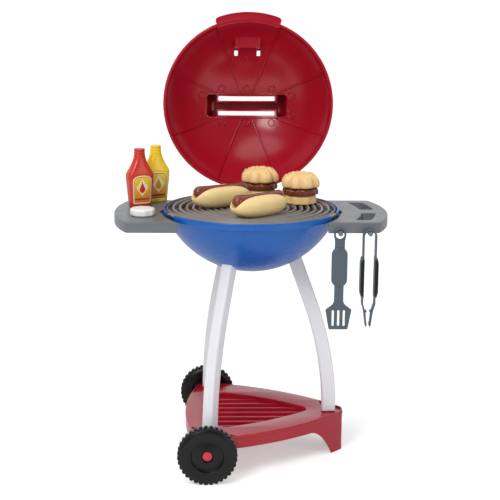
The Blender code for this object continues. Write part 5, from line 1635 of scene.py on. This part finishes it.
def label_face(levels, side, low, high, half, lift, steps=16):
    """A thin closed patch that lies on a bottle's broad face; half(t) gives its half width."""
    def surface(x, height):
        for lower, upper in zip(levels, levels[1:]):
            if lower[0] <= height <= upper[0]:
                t = (height - lower[0]) / (upper[0] - lower[0])
                width, depth, squareness = (
                    lower[k] + (upper[k] - lower[k]) * t for k in (1, 2, 3))
                break
        share = min(0.999, abs(x) / width)
        return depth * (1 - share ** squareness) ** (1 / squareness)
    rings = []
    for row in range(steps * 2 + 1):
        t = row / (steps * 2)
        height = low + (high - low) * t
        reach = max(0.05, half(t))
        front, back = [], []
        for column in range(steps + 1):
            x = reach * (2 * column / steps - 1)
            y = surface(x, height)
            fade = 1.0 if 0 < column < steps and 0 < row < steps * 2 else 0.3
            front.append(Vector((x, side * (y + lift * fade), height)) * MM)
            back.append(Vector((x, side * (y - 0.35), height)) * MM)
        rings.append(front + back[::-1])
    return rings


def build_label(name, levels, side, place, ground, cream, spot, dark):
    """A printed label: cream border, coloured ground and a plain diamond with a drop."""
    def shape(width):
        def half(t):
            ends = min(1.0, (t / 0.05) ** 0.5 if t < 0.05 else 1.0)
            arch = 1.0 if t < 0.8 else math.sqrt(max(0.0, 1 - ((t - 0.8) / 0.2) ** 2))
            return width * (0.9 + 0.1 * t) * max(0.02, (0.9 + 0.1 * ends) * (0.25 + 0.75 * arch))
        return half

    def diamond(width):
        return lambda t: width * (1 - abs(2 * t - 1) ** 1.15)

    def drop(width):
        return lambda t: width * (
            math.sqrt(max(0.0, 1 - ((t - 0.36) / 0.36) ** 2)) if t < 0.36 else
            (1 - (t - 0.36) / 0.64) ** 1.3)

    layers = (
        ("border", shape(20.4), 6, 62, 0.12, cream),
        ("edge", shape(19.2), 7.4, 60.6, 0.17, dark),
        ("ground", shape(18.4), 8.4, 59.6, 0.22, ground),
        ("band", lambda t: 16.4, 13, 17, 0.28, dark),
        ("diamond", diamond(13.6), 20.5, 55, 0.3, cream),
        ("drop", drop(6.6), 27, 50.5, 0.38, spot),
    )
    pieces = []
    for kind, half, low, high, lift, paint in layers:
        pieces.append(loft(kind, label_face(levels, side, low, high, half, lift), 50))
        pieces[-1].data.materials.append(paint)
    label = merge(*pieces)
    label.name = name
    label.matrix_world = place
    return label


def print_paint(name, value, mottle=0.03):
    """Printed colour of one part of a label."""
    return finish_for(name, lambda made: plastic(
        made, linear(value), 0.3, grain=0.03, mottle=mottle))


def build_bottle(size, shelf, index, kind):
    """A flat squeeze bottle with a beaded neck and a plain printed label on both faces."""
    head, foot, drop, band = LABEL_COLOURS[kind]
    levels = spread(BOTTLE_LEVELS)
    rings = [[point * MM for point in oval(w, d, q, h)] for h, w, d, q in levels]
    bottle = loft("bottle", rings, 40)
    place = (*BOTTLE_PLACES[index], shelf.top + CLEARANCE)
    put(bottle, place, math.degrees(size.bottle_turn))
    body = f"{kind}_bottle"
    low = shelf.top + 12 * MM
    ground = finish_for(f"{kind} label print", lambda name: printed_label(
        name, head, foot, low, low + 46 * MM))
    paints = (
        ground, print_paint("cream label print", "F4E5AC", 0.02),
        print_paint(f"{kind} drop print", drop), print_paint(f"{kind} band print", band))
    matrix = bottle.matrix_world.copy()
    seat(bottle, body, kind, body)
    for side, face in ((-1, "front"), (1, "back")):
        label = build_label(f"{kind}_label_{face}", levels, side, matrix, *paints)
        seat(label, body, kind)


def build_pat(size, shelf):
    """The white pat: a low eight-sided block with soft edges."""
    x, y = PUCK_PLACE
    base = shelf.top + CLEARANCE
    reach = size.puck_radius / math.cos(math.radians(22.5)) * 0.93
    outline = rounded([
        (x + reach * math.cos(a), y + reach * math.sin(a), 7 * MM)
        for a in (math.radians(12 + 45 * step) for step in range(8))], 6)
    pat = plate("pat", [outline], base, base + size.puck_height, 3.6 * MM, 5)
    return seat(pat, "butter_pat", "pat", "butter_pat")


# Stage

def sky():
    """A white surround that the camera and glass see; gloss and diffuse rays see a dimmer room."""
    world = bpy.data.worlds.new("studio")
    bpy.context.scene.world = world
    world.use_nodes = True
    tree = world.node_tree
    background = tree.nodes["Background"]
    background.inputs["Color"].default_value = (1, 1, 1, 1)
    rays = add_node(tree, "ShaderNodeLightPath").outputs
    seen = add_node(tree, "ShaderNodeMath", {
        0: rays["Is Camera Ray"], 1: rays["Is Transmission Ray"]}, operation="MAXIMUM")
    # The wall behind the toy is white and the room behind the camera is dim
    look = add_node(tree, "ShaderNodeTexCoord").outputs["Generated"]
    parts = add_node(tree, "ShaderNodeSeparateXYZ", {"Vector": look})
    wall = add_node(tree, "ShaderNodeMapRange", {
        "Value": parts.outputs["Y"], "From Min": -0.25, "From Max": 0.35, "To Min": ROOM_LIGHT})
    mirrored = add_node(tree, "ShaderNodeMix", {
        "Factor": rays["Is Glossy Ray"], "A": SKY_LIGHT, "B": wall.outputs["Result"]},
        data_type="FLOAT")
    strength = add_node(tree, "ShaderNodeMix", {
        "Factor": seen.outputs["Value"], "A": mirrored.outputs["Result"], "B": 1.0},
        data_type="FLOAT")
    tree.links.new(strength.outputs["Result"], background.inputs["Strength"])


def soft_light(name, place, size, power):
    data = bpy.data.lights.new(name, "AREA")
    data.shape = "RECTANGLE"
    data.size, data.size_y = size
    data.energy = power
    lamp = link(name, data)
    lamp.matrix_world = facing(place, Vector(LIGHT_TARGET) - Vector(place), "-Z")


def build_stage(size):
    """Floor, studio lights and the camera where the photograph was taken."""
    paint = plastic(
        "pale studio floor", linear("F8F8F8"), 0.8, grain_mm=3, grain=0.02, sheen_mm=200,
        mottle=0.005)
    # The camera sees the floor lifted to white, so that only the shadow is left on it
    tree, shader = paint.node_tree, shader_of(paint)
    shader.inputs["Emission Color"].default_value = (1, 1, 1, 1)
    rays = add_node(tree, "ShaderNodeLightPath").outputs
    lifted = add_node(tree, "ShaderNodeMath", {
        0: rays["Is Camera Ray"], 1: FLOOR_LIFT}, operation="MULTIPLY")
    tree.links.new(lifted.outputs["Value"], shader.inputs["Emission Strength"])
    floor = plate("floor", [circle((0, 0), 30, 128)], -0.02, 0)
    floor.data.materials.append(paint)
    sky()
    soft_light("key", (-1.3, -2.3, 2.1), (1.1, 1.1), 35)
    soft_light("fill", (1.9, -2.0, 1.1), (0.8, 1.2), 11)
    sun = bpy.data.lights.new("ceiling", "SUN")
    sun.energy = 0.95
    sun.angle = math.radians(50)
    sun.specular_factor = 0.3
    lamp = link("ceiling", sun)
    lamp.rotation_euler = (math.radians(14), math.radians(-12), 0)
    data = bpy.data.cameras.new("photo")
    data.sensor_width = 36
    data.lens = size.lens
    camera = link("photo", data)
    sin_yaw, cos_yaw = math.sin(size.yaw), math.cos(size.yaw)
    sin_pitch, cos_pitch = math.sin(size.pitch), math.cos(size.pitch)
    ahead = Vector((sin_yaw * cos_pitch, cos_yaw * cos_pitch, -sin_pitch))
    right = Vector((cos_yaw, -sin_yaw, 0))
    down = ahead.cross(right)
    sin_roll, cos_roll = math.sin(size.roll), math.cos(size.roll)
    leaning_right = cos_roll * right + sin_roll * down
    leaning_down = cos_roll * down - sin_roll * right
    turn = Matrix((leaning_right, -leaning_down, -ahead)).transposed().to_4x4()
    camera.matrix_world = Matrix.Translation(size.camera) @ turn
    scene = bpy.context.scene
    scene.camera = camera
    scene.view_settings.view_transform = "Standard"


# Operators

class GRILL_OT_bowl(bpy.types.Operator):
    """Build the bowl"""
    bl_idname = "grill.bowl"
    bl_label = "Bowl"

    def execute(self, context):
        build_bowl(context.scene.grill_bowl)
        return {"FINISHED"}


class GRILL_OT_lid(bpy.types.Operator):
    """Build the lid"""
    bl_idname = "grill.lid"
    bl_label = "Lid"

    def execute(self, context):
        build_lid(context.scene.grill_lid, context.scene.grill_bowl)
        return {"FINISHED"}


class GRILL_OT_grate(bpy.types.Operator):
    """Build the cooking grate"""
    bl_idname = "grill.grate"
    bl_label = "Cooking grate"

    def execute(self, context):
        build_grate(context.scene.grill_grate, context.scene.grill_bowl)
        return {"FINISHED"}


class GRILL_OT_shelves(bpy.types.Operator):
    """Build both side shelves"""
    bl_idname = "grill.shelves"
    bl_label = "Side shelves"

    def execute(self, context):
        for build in (build_right_shelf, build_left_shelf):
            build(context.scene.grill_shelf, context.scene.grill_bowl)
        return {"FINISHED"}


class GRILL_OT_legs(bpy.types.Operator):
    """Build the three legs"""
    bl_idname = "grill.legs"
    bl_label = "Legs"

    def execute(self, context):
        scene = context.scene
        for turn, node in zip(LEG_ANGLES, ("leg_right", "leg_back_left", "leg_front_left")):
            build_leg(scene.grill_stand, scene.grill_bowl, turn, node)
        return {"FINISHED"}


class GRILL_OT_base(bpy.types.Operator):
    """Build the base tray with its wheels and steel rods"""
    bl_idname = "grill.base"
    bl_label = "Tray and wheels"

    def execute(self, context):
        size = context.scene.grill_stand
        build_tray(size)
        for side, name in ((-1, "front"), (1, "back")):
            build_wheel(size, side, name)
            build_axle_cap(size, side, name)
        steel = finish_for("drawn steel rod", drawn_steel)
        for node in ("axle", "hinge_pin"):
            repaint(node, steel)
        return {"FINISHED"}


class GRILL_OT_tools(bpy.types.Operator):
    """Build the spatula and the tongs"""
    bl_idname = "grill.tools"
    bl_label = "Spatula and tongs"

    def execute(self, context):
        size, shelf = context.scene.grill_tools, context.scene.grill_shelf
        build_spatula(size, shelf)
        build_bow(size, shelf)
        for side, name in ((-1, "left"), (1, "right")):
            build_arm(size, shelf, side, name)
            build_tongs_grip(size, shelf, side, name)
        return {"FINISHED"}


class GRILL_OT_food(bpy.types.Operator):
    """Build the hot dogs and the burgers"""
    bl_idname = "grill.food"
    bl_label = "Play food"

    def execute(self, context):
        for index in range(2):
            for build in (build_bun, build_sausage, build_burger):
                build(context.scene.grill_food, context.scene.grill_grate, index)
        return {"FINISHED"}


class GRILL_OT_bottles(bpy.types.Operator):
    """Build the two bottles and the butter pat"""
    bl_idname = "grill.bottles"
    bl_label = "Bottles and pat"

    def execute(self, context):
        size, shelf = context.scene.grill_food, context.scene.grill_shelf
        for index, kind in enumerate(("ketchup", "mustard")):
            build_bottle(size, shelf, index, kind)
        build_pat(size, shelf)
        return {"FINISHED"}


class GRILL_OT_stage(bpy.types.Operator):
    """Set up the floor, the lights and the camera"""
    bl_idname = "grill.stage"
    bl_label = "Stage"

    def execute(self, context):
        build_stage(context.scene.grill_stage)
        return {"FINISHED"}


class GRILL_PT_panel(bpy.types.Panel):
    """Build buttons and sizes"""
    bl_idname = "GRILL_PT_panel"
    bl_label = "Toy barbecue grill"
    bl_space_type = "VIEW_3D"
    bl_region_type = "UI"
    bl_category = "Grill"

    def draw(self, context):
        for operator in OPERATORS:
            self.layout.operator(operator.bl_idname)
        for name, group in GROUPS.items():
            sizes = getattr(context.scene, name)
            column = self.layout.column(heading=name)
            for key in group.__annotations__:
                column.prop(sizes, key)


GROUPS = {
    "grill_bowl": GRILL_PG_bowl,
    "grill_lid": GRILL_PG_lid,
    "grill_grate": GRILL_PG_grate,
    "grill_shelf": GRILL_PG_shelf,
    "grill_stand": GRILL_PG_stand,
    "grill_tools": GRILL_PG_tools,
    "grill_food": GRILL_PG_food,
    "grill_colours": GRILL_PG_colours,
    "grill_stage": GRILL_PG_stage,
}
OPERATORS = (
    GRILL_OT_bowl, GRILL_OT_lid, GRILL_OT_grate, GRILL_OT_shelves, GRILL_OT_legs, GRILL_OT_base,
    GRILL_OT_tools, GRILL_OT_food, GRILL_OT_bottles, GRILL_OT_stage,
)


def register():
    for item in (*GROUPS.values(), *OPERATORS, GRILL_PT_panel):
        bpy.utils.register_class(item)
    for name, group in GROUPS.items():
        setattr(bpy.types.Scene, name, PointerProperty(type=group))


def unregister():
    for name in GROUPS:
        delattr(bpy.types.Scene, name)
    for item in reversed((*GROUPS.values(), *OPERATORS, GRILL_PT_panel)):
        bpy.utils.unregister_class(item)


def main():
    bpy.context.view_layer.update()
    register()
    for operator in OPERATORS:
        family, name = operator.bl_idname.split(".")
        getattr(getattr(bpy.ops, family), name)()


if __name__ == "__main__":
    main()
